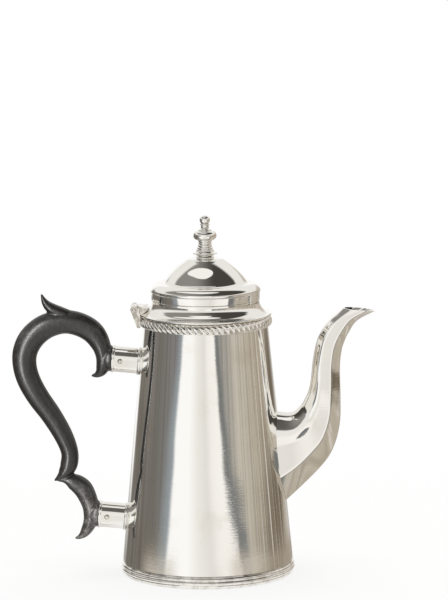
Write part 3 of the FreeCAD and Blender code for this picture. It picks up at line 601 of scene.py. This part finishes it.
class POT_OT_body(bpy.types.Operator):
    """Body wall, base plate and foot ring"""

    bl_idname = "pot.body"
    bl_label = "Body and Foot"

    cove_depth = 0.4 * MM
    cove_half = 0.2 * MM

    def execute(self, context):
        sizes, finishes = context.scene.pot_body, context.scene.pot_finishes
        silver = silver_material("silver_foot", finishes, dull=0.20, grit=220.0)
        wall_silver = silver_material("silver_wall", finishes, vessel=sizes)
        seam = sizes.foot_radius - sizes.reed_bow
        middle = sizes.low_reed + sizes.middle_reed
        cove, cove_z = sizes.base_radius - self.cove_depth, middle + sizes.top_reed
        top, ledge = sizes.foot_height, sizes.foot_height - sizes.plate_thickness
        foot = lathe("foot_moulding", profile((
            (sizes.foot_bore, 0.0),
            (seam - sizes.reed_bow, 0.0, sizes.reed_bow / 2),
            (seam, sizes.low_reed, sizes.reed_bow),
            (seam, middle, sizes.reed_bow),
            (cove, cove_z - self.cove_half),
            (cove, cove_z + self.cove_half),
            (sizes.base_radius, top),
            (sizes.plate_seat, top),
            (sizes.plate_seat, ledge),
            (sizes.foot_bore, ledge),
        )), shade_and_tarnish=0.55)
        dress(foot, "pot", "silver", silver, "foot_ring")
        for node in ("body_shell", "base_plate"):
            cover(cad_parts[node], wall_silver)
        return {"FINISHED"}


class POT_OT_rope(bpy.types.Operator):
    """Twisted rope border round the rim"""

    bl_idname = "pot.rope"
    bl_label = "Rope Border"

    columns_per_strand = 12
    rows = 28
    strand_fullness = 2.2
    # Darkness of the tarnish and painted shade between the strands.
    shade_and_tarnish = 0.7

    def execute(self, context):
        sizes, finishes = context.scene.pot_body, context.scene.pot_finishes
        silver = silver_material("silver_rope", finishes, turned=False, dull=0.15, grit=260.0)
        columns = sizes.rope_strands * self.columns_per_strand
        half = sizes.rope_height / 2
        middle = sizes.rim_height - half
        pitch = 2 * math.pi / sizes.rope_strands
        points, grooves = [], []
        for row in range(self.rows + 1):
            lift = math.sin(math.pi * (row / self.rows - 0.5))
            height = middle + half * lift
            swell = math.sqrt(max(0.0, 1 - lift * lift))
            inner = wall_radius(sizes, height)
            lean = -half * lift * math.tan(sizes.rope_slant) / wall_radius(sizes, middle)
            for column, (c, s) in enumerate(circle(columns)):
                phase = ((2 * math.pi * column / columns - lean) / pitch) % 1.0 * 2 - 1
                lobe = math.sqrt(max(0.0, 1 - abs(phase) ** self.strand_fullness))
                out = inner + swell * (sizes.rope_core + (sizes.rope_proud - sizes.rope_core) * lobe)
                points.append((out * c, out * s, height))
                # The valleys between strands carry tarnish and painted shade.
                grooves.append(self.shade_and_tarnish * (1 - lobe))
        rings = [range(start, start + columns) for start in range(0, len(points), columns)]
        rope = mesh_object("rope_border", points, quilt(rings + rings[:1]))
        mark(rope, "groove", grooves)
        dress(rope, "pot", "silver", silver, "rim_rope_border", sharp=1.2)
        return {"FINISHED"}


class POT_OT_lid(bpy.types.Operator):
    """Stepped lid: skirt, dome and bezel"""

    bl_idname = "pot.lid"
    bl_label = "Lid"

    lip_bow = 0.4 * MM
    flare_bow = 0.5 * MM
    sweep_bow = 0.75 * MM
    bezel_lap = 1.0 * MM
    line_depth = 0.35 * MM
    low_line_half = 0.2 * MM
    high_line_half = 0.3 * MM
    step_lean = 0.1 * MM
    roll_bow = 0.15 * MM
    shoulder_bow = 1.1 * MM
    bell_foot_bow = 0.15 * MM
    bell_bow = 0.95 * MM
    crown_bow = 0.5 * MM
    crown_slope = 4.0 * MM
    crown_drop = 1.0 * MM
    stud_bore = 2.05 * MM
    # Share of the sheet's thickness that shows along and across where the sheet slopes.
    slope_share = 0.7
    skirt_edge = 0.2 * MM
    fine_edge = 0.15 * MM

    def skirt(self, lid, neck_z):
        """Outline of the flange and the hollow flare above it."""
        lip = lid.flange_radius - self.lip_bow
        return profile((
            (lip, lid.seat, self.lip_bow),
            (lip, lid.seat + lid.flange_edge, -self.flare_bow),
            (lid.sweep_radius, lid.seat + lid.sweep_rise, -self.sweep_bow),
            (lid.neck_radius, neck_z),
            (lid.neck_radius - lid.wall, neck_z),
            (lid.bezel_inner - self.bezel_lap, lid.seat),
        ))

    def dome(self, lid, neck_z):
        """Outline of the step with its two incised lines, the shoulder and the bell."""
        lean = lid.wall * self.slope_share
        step_z, shoulder_z = lid.seat + lid.step_rise, lid.seat + lid.shoulder_rise
        bell_z, top = lid.seat + lid.bell_rise, lid.seat + lid.crown_rise
        crown_z, flat = top - self.crown_drop, lid.crown_radius - self.crown_slope
        return profile((
            (lid.neck_radius, neck_z),
            (lid.neck_radius - self.line_depth, neck_z + self.low_line_half),
            (lid.neck_radius, neck_z + 2 * self.low_line_half),
            (lid.step_radius - self.step_lean, step_z - 2 * self.high_line_half),
            (lid.step_radius - self.line_depth, step_z - self.high_line_half),
            (lid.step_radius, step_z, self.roll_bow),
            (lid.step_radius + self.step_lean, step_z + lid.roll, self.shoulder_bow),
            (lid.shoulder_radius, shoulder_z, -self.bell_foot_bow),
            (lid.bell_radius, bell_z, self.bell_bow),
            (lid.crown_radius, crown_z, self.crown_bow),
            (flat, top),
            (self.stud_bore, top),
            (self.stud_bore, top - lid.wall),
            (flat, top - lid.wall, -self.crown_bow),
            (lid.crown_radius - lean, crown_z - lean, -self.bell_bow),
            (lid.bell_radius - lean, bell_z - lean),
            (lid.shoulder_radius - lean, shoulder_z - lid.wall, -self.shoulder_bow),
            (lid.step_radius - lid.wall, step_z + lid.roll - lean),
            (lid.neck_radius - lid.wall, neck_z),
        ))

    def execute(self, context):
        lid = context.scene.pot_lid
        silver = silver_material("silver_lid", context.scene.pot_finishes)
        neck_z = lid.seat + lid.neck_rise
        flare = lathe("lid_flare", soften(self.skirt(lid, neck_z), self.skirt_edge))
        dress(flare, "lid", "silver", silver, "lid_skirt")
        bell = lathe("lid_bell", soften(self.dome(lid, neck_z), self.fine_edge))
        dress(bell, "lid", "silver", silver, "lid_dome")
        for node in ("lid_bezel", "finial_washer", "finial_nut"):
            coat(node, silver, self.fine_edge)
        return {"FINISHED"}


# Finial from its stud up: radius and rise above the lid in millimetres, with the bow of the side.
FINIAL = (
    (0.0, -5.2),
    (2.0, -5.2),
    (2.0, 0.0),
    (6.0, 0.0, -0.3),
    (5.6, 1.3, -0.4),
    (7.5, 3.0, 0.2),
    (7.5, 3.6, -0.4),
    (5.4, 5.0, 0.2),
    (5.3, 5.7),
    (4.6, 6.1, 0.4),
    (4.6, 7.2),
    (4.1, 7.5, 0.35),
    (4.1, 8.8),
    (3.9, 9.1, 0.35),
    (3.9, 10.3),
    (4.0, 10.6, 0.3),
    (4.4, 11.6, 0.95),
    (7.4, 14.7, 0.95),
    (4.1, 17.6, 0.2),
    (3.5, 18.4, -0.2),
    (2.5, 19.5),
    (2.5, 21.0),
    (2.9, 21.3, 0.25),
    (2.9, 22.0),
    (2.4, 22.3, 1.75),
    (0.6, 27.2),
    (0.0, 27.4),
)


class POT_OT_finial(bpy.types.Operator):
    """Turned baluster finial"""

    bl_idname = "pot.finial"
    bl_label = "Finial"

    fine_edge = 0.25 * MM
    segments = 96
    steps = 8

    def execute(self, context):
        lid, finishes = context.scene.pot_lid, context.scene.pot_finishes
        silver = silver_material("silver_finial", finishes)
        base = lid.seat + lid.crown_rise
        unit = MM * lid.finial_scale
        corners = [(c[0] * unit, base + c[1] * unit, *(b * unit for b in c[2:])) for c in FINIAL]
        outline = soften(profile(corners, self.steps), self.fine_edge)
        dress(lathe("turned_finial", outline, self.segments), "lid", "silver", silver, "finial")
        return {"FINISHED"}


# Stations along the spout: shares of reach and rise, inner then outer contour, and of half the width.
SPOUT_STATIONS = (
    (-0.150, 0.300, -0.100, -0.380, 1.05),
    (0.087, 0.283, 0.198, -0.212, 0.97),
    (0.198, 0.331, 0.447, -0.054, 0.82),
    (0.243, 0.374, 0.560, 0.066, 0.76),
    (0.281, 0.427, 0.618, 0.218, 0.70),
    (0.308, 0.505, 0.625, 0.395, 0.63),
    (0.330, 0.628, 0.620, 0.580, 0.57),
    (0.365, 0.741, 0.638, 0.690, 0.53),
    (0.419, 0.820, 0.672, 0.757, 0.50),
    (0.503, 0.891, 0.715, 0.812, 0.48),
    (0.586, 0.937, 0.805, 0.890, 0.46),
    (0.655, 0.975, 1.000, 0.955, 0.43),
)
# Corners on one side of the spout's section: share of half the depth, then of half the width.
SPOUT_SIDE = ((1.00, 0.34), (0.34, 1.00), (-0.56, 1.00), (-1.00, 0.42))
SPOUT_FACETS = (*SPOUT_SIDE, *((d, -w) for d, w in reversed(SPOUT_SIDE)))


class POT_OT_spout(bpy.types.Operator):
    """Faceted swan-neck spout, hollow, trimmed to the wall"""

    bl_idname = "pot.spout"
    bl_label = "Spout"

    steps = 10
    crease_steps = 8
    merge_gap = 0.01 * MM

    # Share of a facet that a crease takes: at the root, its change to the beak, and how late that comes.
    outer_crease = (0.06, 0.20, 1.2)
    inner_crease = (0.48, -0.30, 0.7)

    def section(self, station, spout, body, inset, along):
        """One ring of the spout, with its creases rounded: the outer ones crisp, the inner ones soft."""
        inner_out, inner_up, outer_out, outer_up, width = station
        root = Vector((wall_radius(body, spout.height), 0.0, spout.height))
        inner = root + Vector((inner_out * spout.reach, 0.0, inner_up * spout.rise))
        outer = root + Vector((outer_out * spout.reach, 0.0, outer_up * spout.rise))
        deep = (outer - inner) / 2
        middle = inner + deep
        half_depth, half_width = deep.length - inset, width * spout.width / 2 - inset
        deep.normalize()
        flat = [Vector((d * half_depth, w * half_width)) for d, w in SPOUT_FACETS]
        ring = []
        for i, corner in enumerate(flat):
            start, change, lateness = self.outer_crease if corner.x > 0 else self.inner_crease
            crease = start + change * along ** lateness
            first = corner.lerp(flat[i - 1], crease)
            last = corner.lerp(flat[(i + 1) % len(flat)], crease)
            ring.extend(rounded(first, corner, last, self.crease_steps))
        return [middle + deep * point.x + ACROSS * point.y for point in ring]

    def execute(self, context):
        body, spout = context.scene.pot_body, context.scene.pot_spout
        silver = silver_material("silver_spout", context.scene.pot_finishes, turned=False)
        line = smooth_line(SPOUT_STATIONS, self.steps)
        outside, inside = [], []
        for i, station in enumerate(line):
            along = i / len(line)
            outside.append(self.section(station, spout, body, 0.0, along))
            inside.append(self.section(station, spout, body, spout.wall, along))
        rings = outside + inside[::-1]
        piece = skin("swan_neck_spout", rings + rings[:1], cap=False)
        piece.modifiers.new("merge", "WELD").merge_threshold = self.merge_gap
        settle(piece)
        combine(piece, [wall_cone(body)], "DIFFERENCE")
        dress(piece, "pot", "silver", silver, "spout", sharp=0.9)
        return {"FINISHED"}


class POT_OT_sockets(bpy.types.Operator):
    """Handle sockets with their collars, mouth rings and pins"""

    bl_idname = "pot.sockets"
    bl_label = "Handle Sockets"

    socket_edge = 0.15 * MM
    fine_edge = 0.1 * MM
    collar_stand = 0.6 * MM
    collar_wire = 0.9 * MM
    collar_turns = 72
    wire_sides = 16

    def collar(self, name, centre, outwards, radius):
        """A round wire bent to a ring about a socket."""
        side = outwards.cross(ACROSS)
        rays = [side * c + ACROSS * s for c, s in circle(self.collar_turns)]
        rings = []
        for ray in rays + rays[:1]:
            hub = centre + ray * radius
            wire = [(ray * c + outwards * s) * self.collar_wire for c, s in circle(self.wire_sides)]
            rings.append([hub + point for point in wire])
        return skin(name, rings, cap=False)

    def execute(self, context):
        sizes, finishes = context.scene.pot_body, context.scene.pot_finishes
        silver = silver_material("silver_sockets", finishes, turned=False)
        dull = silver_material("silver_pins", finishes, turned=False, dull=0.7, grit=500.0)
        for place, height in (("upper", sizes.upper_socket), ("lower", sizes.lower_socket)):
            coat(f"{place}_socket", silver, self.socket_edge)
            coat(f"{place}_socket_rim", silver, self.fine_edge)
            coat(f"{place}_handle_pin", dull, self.fine_edge)
            root, outwards = socket_line(sizes, height)
            centre = root + outwards * self.collar_stand
            collar = self.collar(f"{place}_collar", centre, outwards, sizes.socket_radius)
            dress(collar, "pot", "silver", silver)
        return {"FINISHED"}


# Handle stations: shares of the reach, of the sockets' spacing, and of half the thickness and depth.
UPPER_SCROLL = (
    (0.188, 0.890, 0.06, 0.20),
    (0.131, 0.898, 0.27, 0.45),
    (0.092, 0.926, 0.48, 0.72),
    (0.080, 0.970, 0.56, 0.90),
    (0.088, 1.024, 0.62, 0.96),
    (0.126, 1.096, 0.79, 0.98),
    (0.219, 1.172, 0.92, 1.00),
    (0.362, 1.221, 0.95, 1.00),
    (0.524, 1.236, 0.95, 1.00),
    (0.694, 1.206, 1.00, 1.00),
    (0.817, 1.138, 1.02, 1.00),
    (0.875, 1.052, 0.99, 0.98),
    (0.870, 0.962, 0.95, 0.96),
    (0.814, 0.863, 0.93, 0.94),
    (0.705, 0.754, 0.89, 0.92),
    (0.562, 0.640, 0.83, 0.90),
    (0.424, 0.510, 0.76, 0.87),
    (0.345, 0.400, 0.69, 0.84),
    (0.343, 0.316, 0.69, 0.82),
    (0.385, 0.262, 0.50, 0.68),
    (0.429, 0.236, 0.26, 0.45),
    (0.474, 0.217, 0.06, 0.18),
)
LOWER_CRESCENT = (
    (0.436, 0.219, 0.10, 0.30),
    (0.370, 0.222, 0.30, 0.60),
    (0.300, 0.212, 0.62, 0.78),
    (0.222, 0.186, 0.76, 0.86),
    (0.159, 0.145, 0.77, 0.90),
    (0.092, 0.059, 0.68, 0.92),
    (0.074, -0.014, 0.60, 0.90),
    (0.084, -0.067, 0.53, 0.82),
    (0.121, -0.118, 0.40, 0.62),
    (0.164, -0.147, 0.22, 0.42),
    (0.215, -0.159, 0.06, 0.20),
)
THUMB_LEAF = (
    (0.400, 1.255, 0.50, 0.60),
    (0.531, 1.290, 0.48, 0.72),
    (0.648, 1.323, 0.44, 0.66),
    (0.716, 1.362, 0.28, 0.46),
    (0.760, 1.414, 0.06, 0.18),
)


class POT_OT_handle(bpy.types.Operator):
    """Carved ebonised double-scroll handle"""

    bl_idname = "pot.handle"
    bl_label = "Handle"

    steps = 8
    ring_size = 40
    fullness = 1.06
    least_thickness = 0.05
    least_depth = 0.12
    bar_sides = 48
    dome_steps = 8
    dome_tip = 0.02
    boss_gap = 0.05 * MM
    boss_collar = 0.5 * MM
    boss_dome = 0.9
    tenon_play = 0.1 * MM
    tenon_lap = 2.0 * MM
    tenon_dome = 1.0 * MM
    # Wear with a painted sheen: a light line along the ridges on the side this direction points to, and a
    # lighter foot on the faces that turn to the front and back.
    wear_and_sheen_side = Vector((-0.38, 0.89, 0.25))
    ridge_sharpness = 7
    ridge_wear_and_sheen = 0.15
    foot_wear_and_sheen_reach = 0.26
    foot_wear_and_sheen = 0.75

    def limb(self, name, stations, handle, low, high):
        """A tapering limb of full oval sections along a smooth line."""
        line = smooth_line(stations, self.steps)
        centres = []
        for out, rise, _, _ in line:
            base = low.lerp(high, rise)
            centres.append(Vector((base.x - out * handle.reach, 0.0, base.z)))
        rings = []
        for i, (_, _, thick, deep) in enumerate(line):
            along = centres[min(i + 1, len(line) - 1)] - centres[max(i - 1, 0)]
            side = Vector((-along.z, 0.0, along.x)).normalized()
            half_thick = max(thick, self.least_thickness) * handle.thickness / 2
            half_deep = max(deep, self.least_depth) * handle.depth / 2
            ring = []
            for c, s in circle(self.ring_size):
                c = math.copysign(abs(c) ** self.fullness, c)
                s = math.copysign(abs(s) ** self.fullness, s)
                ring.append(centres[i] + side * (half_thick * c) + ACROSS * (half_deep * s))
            rings.append(ring)
        return skin(name, rings)

    def round_bar(self, name, start, end, radius, dome):
        """A round bar from start to end, with a domed end."""
        along = (end - start).normalized()
        side = along.cross(ACROSS).normalized()
        stations = [(start, radius), (end, radius)]
        for k in range(1, self.dome_steps + 1):
            lift = math.pi / 2 * k / self.dome_steps
            size = radius * max(math.cos(lift), self.dome_tip)
            stations.append((end + along * dome * math.sin(lift), size))
        rings = []
        for centre, size in stations:
            rings.append([centre + (side * c + ACROSS * s) * size for c, s in circle(self.bar_sides)])
        return skin(name, rings)

    def wear_and_sheen(self, carved, low, high):
        """How far the black has worn at each point, with a painted sheen: a light line along the ridges,
        and most at the handle's foot on the faces that turn to the front and back.
        """
        worn = []
        for vertex in carved.data.vertices:
            rise = (vertex.co.z - low.z) / (high.z - low.z)
            x, y, z = vertex.normal
            ridge = max(0.0, self.wear_and_sheen_side.dot(Vector((x, abs(y), z)))) ** self.ridge_sharpness
            foot = min(1.0, max(0.0, 1 - rise / self.foot_wear_and_sheen_reach)) * abs(y)
            worn.append(self.ridge_wear_and_sheen * ridge + self.foot_wear_and_sheen * foot)
        return worn

    def execute(self, context):
        body, handle = context.scene.pot_body, context.scene.pot_handle
        ebony = ebony_material(context.scene.pot_finishes)
        tenon = body.socket_radius - body.socket_wall - self.tenon_play
        mouths, pieces = [], []
        for height in (body.lower_socket, body.upper_socket):
            root, outwards = socket_line(body, height)
            mouth = root + outwards * body.socket_length
            mouths.append(mouth)
            start, end = mouth + outwards * self.boss_gap, mouth + outwards * self.boss_collar
            pieces.append(self.round_bar("boss", start, end, handle.boss, handle.boss * self.boss_dome))
            start, end = mouth - outwards * handle.tenon, mouth + outwards * self.tenon_lap
            pieces.append(self.round_bar("tenon", start, end, tenon, self.tenon_dome))
        low, high = mouths
        limbs = {"scroll": UPPER_SCROLL, "crescent": LOWER_CRESCENT, "leaf": THUMB_LEAF}
        for name, stations in limbs.items():
            pieces.append(self.limb(name, stations, handle, low, high))
        carved = pieces[0]
        combine(carved, pieces[1:], "UNION")
        carve = carved.modifiers.new("carve", "REMESH")
        carve.mode = "VOXEL"
        carve.voxel_size = handle.grain
        ease = carved.modifiers.new("ease", "SMOOTH")
        ease.factor = 0.5
        ease.iterations = 2
        settle(carved)
        carved.name = "scroll_handle"
        mark(carved, "worn", self.wear_and_sheen(carved, low, high))
        dress(carved, "pot", "wood", ebony, "handle", sharp=1.0)
        return {"FINISHED"}


class POT_OT_hinge(bpy.types.Operator):
    """Lid hinge"""

    bl_idname = "pot.hinge"
    bl_label = "Hinge"

    fine_edge = 0.2 * MM

    def execute(self, context):
        finishes = context.scene.pot_finishes
        silver = silver_material("silver_hinge", finishes, turned=False, dull=0.5, grit=300.0)
        for node in ("hinge_body_leaf", "hinge_lid_leaf", "hinge_pin"):
            coat(node, silver, self.fine_edge)
        return {"FINISHED"}


# Studio round the pot: bearing from the camera's side in degrees, towards the spout, and its colour.
STUDIO_BANDS = (
    (-180, (1.00, 1.00, 1.00)),
    (-156, (1.00, 1.00, 0.99)),
    (-144, (0.21, 0.195, 0.18)),
    (-110, (0.25, 0.23, 0.21)),
    (-90, (0.17, 0.16, 0.145)),
    (-60, (0.22, 0.215, 0.21)),
    (0, (0.20, 0.20, 0.20)),
    (36, (0.38, 0.36, 0.33)),
    (50, (0.56, 0.52, 0.45)),
    (100, (0.46, 0.40, 0.32)),
    (150, (0.56, 0.50, 0.43)),
    (170, (0.80, 0.77, 0.72)),
    (180, (1.00, 1.00, 1.00)),
)
# White screen behind the camera: share of half its width, towards the spout, and its colour.
SCREEN_BANDS = (
    (-1.30, (0.20, 0.20, 0.20)),
    (-1.03, (0.32, 0.36, 0.39)),
    (-0.96, (1.00, 1.00, 1.00)),
    (-0.45, (1.00, 1.00, 0.99)),
    (-0.10, (0.86, 0.85, 0.82)),
    (0.30, (0.78, 0.76, 0.73)),
    (0.55, (0.92, 0.90, 0.87)),
    (0.96, (0.97, 0.95, 0.92)),
    (1.01, (0.18, 0.18, 0.18)),
    (1.18, (0.19, 0.20, 0.20)),
    (1.32, (0.40, 0.38, 0.34)),
)
# Other colours of the room that the silver reflects.
ROOM = {
    "front_table": (0.62, 0.60, 0.57),
    "left_table": (0.17, 0.155, 0.135),
    "right_table": (0.48, 0.43, 0.36),
    "table_edge": (0.13, 0.10, 0.065),
    "speck": (0.85, 0.80, 0.70),
    "streak": (0.055, 0.05, 0.045),
    "glint": (0.97, 0.94, 0.88),
    "sill": (0.60, 0.55, 0.48),
    "right_sill": (0.36, 0.31, 0.25),
    "upper_wall": (0.84, 0.83, 0.81),
    "left_ceiling": (0.26, 0.25, 0.24),
    "right_ceiling": (0.06, 0.056, 0.05),
    "light_box": (0.92, 0.91, 0.89),
}
WHITE = (1.0, 1.0, 1.0)


class POT_OT_stage(bpy.types.Operator):
    """White floor, soft studio light and the camera"""

    bl_idname = "pot.stage"
    bl_label = "Stage"

    # Places in the room are parts of a unit direction, and bearings are half turns from the camera's side.
    screen_turn = 0.066
    least_screen, most_screen = 0.14, 0.31
    # The wall's foot mirrors the height foot_swing times the cosine of half the bearing, less foot_fall.
    foot_swing, foot_fall = 0.1855, 0.2248
    floor_half = 0.45
    floor_seen = 0.42
    floor_mirrored = 0.085
    lamp_aim = Vector((0.0, 0.0, 0.1))
    sensor = 36.0

    def sides(self, paint, x, z, bearing):
        """The room beside the pot: bands of grey, a table low down, dark streaks and small glints."""
        stops = [(degrees / 360 + 0.5, rgb) for degrees, rgb in STUDIO_BANDS]
        bands = paint.ramp(bearing * 0.5 + 0.5, stops)
        table = paint.mix(x.band(-0.1, -0.5), ROOM["front_table"], ROOM["left_table"])
        right = paint.mix(z.band(-0.135, -0.155), ROOM["table_edge"], ROOM["right_table"])
        table = paint.mix(x.band(0.3, 0.6), table, right)
        specks = paint.noise(paint.vector(bearing * 60.0, 0.0, z * 60.0), 1.0, 3.0, 0.7)
        table = paint.mix(specks.band(0.60, 0.68) * 0.6, table, ROOM["speck"])
        bands = paint.mix(z.band(-0.045, -0.115) * 0.85, bands, table)
        streaks = paint.noise(paint.vector(bearing * 56.0, 0.0, z * 2.0), 1.0, 3.0, 0.65)
        bands = paint.mix(streaks.band(0.45, 0.68) * 0.42, bands, ROOM["streak"])
        glints = paint.noise(paint.vector(bearing * 75.0, 7.0, z * 3.0), 1.0, 3.0, 0.65)
        return paint.mix(glints.band(0.56, 0.66) * x.band(0.1, 0.5) * 0.6, bands, ROOM["glint"])

    def front(self, paint, x, z, bearing):
        """The sides with a white screen before them, which widens low down, and a pale sill under it."""
        below = z.maths("MINIMUM", 0.0)
        drift = (below * below * 22.0).maths("MINIMUM", 0.035)
        half_screen = z * -1.27 + drift + 0.188
        half_screen = half_screen.maths("MAXIMUM", self.least_screen).maths("MINIMUM", self.most_screen)
        across = (bearing - drift + self.screen_turn) / half_screen
        stops = [(place / 4 + 0.5, rgb) for place, rgb in SCREEN_BANDS]
        screen = paint.ramp(across * 0.25 + 0.5, stops)
        outside = across.maths("ABSOLUTE")
        around = paint.mix(outside.band(1.18, 1.34), screen, self.sides(paint, x, z, bearing))
        above_foot = z - (bearing * (math.pi / 2)).maths("COSINE") * self.foot_swing + self.foot_fall
        sill = (above_foot + x.band(0.0, -0.6) * 0.0035).band(0.0088, 0.0042)
        sill = sill * above_foot.band(-0.02, -0.008) * outside.band(0.55, 0.9) * bearing.band(-0.60, -0.46)
        tone = paint.mix(bearing.band(0.38, 0.58), ROOM["sill"], ROOM["right_sill"])
        return paint.mix(sill * 0.8, around, tone)

    def overhead(self, paint, x, y, z):
        """The room above the pot: pale walls, a dark ceiling and a light box in it."""
        ceiling = paint.mix(x.band(-0.45, 0.35), ROOM["left_ceiling"], ROOM["right_ceiling"])
        dark = z.band(0.56, 0.64) * y.band(0.42, 0.28)
        above = paint.mix(dark, ROOM["upper_wall"], ceiling)
        side, ahead = (x + 0.13) / 0.40, (y - x * x + 0.08) / 0.19
        box = (side * side + ahead * ahead) + z.band(0.0, -0.2) * 9.0
        return paint.mix(box.band(1.0, 0.9), above, ROOM["light_box"])

    def studio(self, context):
        """The room that the silver reflects; the camera, and mirrored rays to the back, see white."""
        world = context.scene.world or bpy.data.worlds.new("studio")
        context.scene.world = world
        world.use_nodes = True
        paint = Paint(world.node_tree)
        x, y, z = paint.parts(paint.node("ShaderNodeTexCoord", output="Generated"))
        bearing = paint.bearing(y * -1.0, x) / math.pi
        around = self.front(paint, x, z, bearing)
        room = paint.mix(z.band(0.22, 0.36), around, self.overhead(paint, x, y, z))
        behind = (y - x * 0.12).band(0.88, 0.95) * z.band(-0.19, -0.155)
        mirrored = (paint.ray("Glossy") + paint.ray("Transmission")) * behind
        seen = paint.mix(paint.ray("Camera").maths("MAXIMUM", mirrored), room, WHITE)
        background = paint.node("ShaderNodeBackground", None, {"Color": seen, "Strength": 1.0})
        paint.node("ShaderNodeOutputWorld", None, {"Surface": background})

    def floor(self):
        """A white table that keeps the pot's soft shadow and fades into the white background."""
        material, paint = new_paint("white_floor")
        place = paint.place()
        x, y, _ = paint.parts(place)
        grain = paint.noise(place, 30.0, 3.0, 0.6)
        white = paint.mix(grain, (0.90, 0.90, 0.90), (0.93, 0.93, 0.93))
        matt = paint.node("ShaderNodeBsdfDiffuse", None, {"Color": white})
        glow = paint.node("ShaderNodeEmission", None, {"Color": WHITE, "Strength": 1.0})
        camera = paint.ray("Camera")
        seen = (camera + paint.ray("Glossy") + paint.ray("Transmission")) * 0.80
        near = paint.node("ShaderNodeMixShader", None, [seen, matt, glow])
        reach = self.floor_mirrored + camera * (self.floor_seen - self.floor_mirrored)
        far = ((x * x + y * y) ** 0.5 / reach).band(0.6, 1.0)
        clear = paint.node("ShaderNodeBsdfTransparent")
        surface = paint.node("ShaderNodeMixShader", None, [far, near, clear])
        paint.node("ShaderNodeOutputMaterial", None, {"Surface": surface})
        half = self.floor_half
        corners = [(-half, -half, 0.0), (half, -half, 0.0), (half, half, 0.0), (-half, half, 0.0)]
        floor = mesh_object("floor", corners, [(0, 1, 2, 3)])
        floor.data.materials.append(material)

    def lamp(self, context, name, place, size, power, receivers=()):
        """A soft lamp that points at the pot; one with receivers lights these alone and shows in them."""
        light = bpy.data.lights.new(name, "AREA")
        light.shape = "RECTANGLE"
        light.size, light.size_y = size
        light.energy = power
        lamp = bpy.data.objects.new(name, light)
        context.scene.collection.objects.link(lamp)
        lamp.location = place
        lamp.rotation_euler = (self.lamp_aim - Vector(place)).to_track_quat("-Z", "Y").to_euler()
        lamp.visible_glossy = bool(receivers)
        if receivers:
            lit = bpy.data.collections.new(name)
            for piece in receivers:
                lit.objects.link(bpy.data.objects[piece])
            lamp.light_linking.receiver_collection = lit

    def camera(self, context):
        """The camera at the photograph's viewing angle."""
        stage = context.scene.pot_stage
        aim = Vector((stage.aim_side, 0.0, stage.aim_height))
        back = Vector((0.0, -math.cos(stage.elevation), math.sin(stage.elevation)))
        eye = bpy.data.cameras.new("camera")
        eye.lens = stage.lens
        eye.sensor_width = self.sensor
        eye.clip_start = 0.01
        camera = bpy.data.objects.new("camera", eye)
        context.scene.collection.objects.link(camera)
        camera.location = aim + back * stage.distance
        turn = (-back).to_track_quat("-Z", "Y") @ Quaternion((0.0, 0.0, 1.0), stage.roll)
        camera.rotation_euler = turn.to_euler()
        context.scene.camera = camera

    def execute(self, context):
        self.studio(context)
        self.floor()
        self.lamp(context, "sky", place=(0.0, 0.2, 2.2), size=(2.0, 2.0), power=34.0)
        self.lamp(
            context, "strip", place=(-1.2, -1.7, 0.4), size=(0.25, 2.4), power=36.0,
            receivers=["scroll_handle"],
        )
        self.camera(context)
        context.scene.view_settings.view_transform = "Standard"
        return {"FINISHED"}


class POT_PT_sidebar(bpy.types.Panel):
    """Sizes, finishes and pieces of the pot"""

    bl_label = "Coffee Pot"
    bl_idname = "POT_PT_sidebar"
    bl_space_type = "VIEW_3D"
    bl_region_type = "UI"
    bl_category = "Coffee Pot"

    def draw(self, context):
        column = self.layout.column()
        for group in GROUPS:
            box = column.box()
            box.label(text=GROUPS[group].__doc__)
            settings = getattr(context.scene, group)
            for name in settings.__annotations__:
                box.prop(settings, name)
        for operator in OPERATORS:
            column.operator(operator.bl_idname)


GROUPS = {
    "pot_body": PotBodySizes,
    "pot_lid": PotLidSizes,
    "pot_spout": PotSpoutSizes,
    "pot_handle": PotHandleSizes,
    "pot_finishes": PotFinishes,
    "pot_stage": PotStage,
}
OPERATORS = (
    POT_OT_body,
    POT_OT_rope,
    POT_OT_lid,
    POT_OT_finial,
    POT_OT_spout,
    POT_OT_sockets,
    POT_OT_handle,
    POT_OT_hinge,
    POT_OT_stage,
)


def register():
    """Registers the classes and hangs the settings on the scene."""
    for group in GROUPS.values():
        bpy.utils.register_class(group)
    for name, group in GROUPS.items():
        setattr(bpy.types.Scene, name, bpy.props.PointerProperty(type=group))
    for operator in OPERATORS:
        bpy.utils.register_class(operator)
    bpy.utils.register_class(POT_PT_sidebar)


def unregister():
    """Takes all of it back."""
    bpy.utils.unregister_class(POT_PT_sidebar)
    for operator in reversed(OPERATORS):
        bpy.utils.unregister_class(operator)
    for name, group in reversed(GROUPS.items()):
        delattr(bpy.types.Scene, name)
        bpy.utils.unregister_class(group)


def main():
    """Makes every piece in order."""
    register()
    bpy.ops.pot.body()
    bpy.ops.pot.rope()
    bpy.ops.pot.lid()
    bpy.ops.pot.finial()
    bpy.ops.pot.spout()
    bpy.ops.pot.sockets()
    bpy.ops.pot.handle()
    bpy.ops.pot.hinge()
    bpy.ops.pot.stage()
    bpy.context.view_layer.update()


if __name__ == "__main__":
    main()
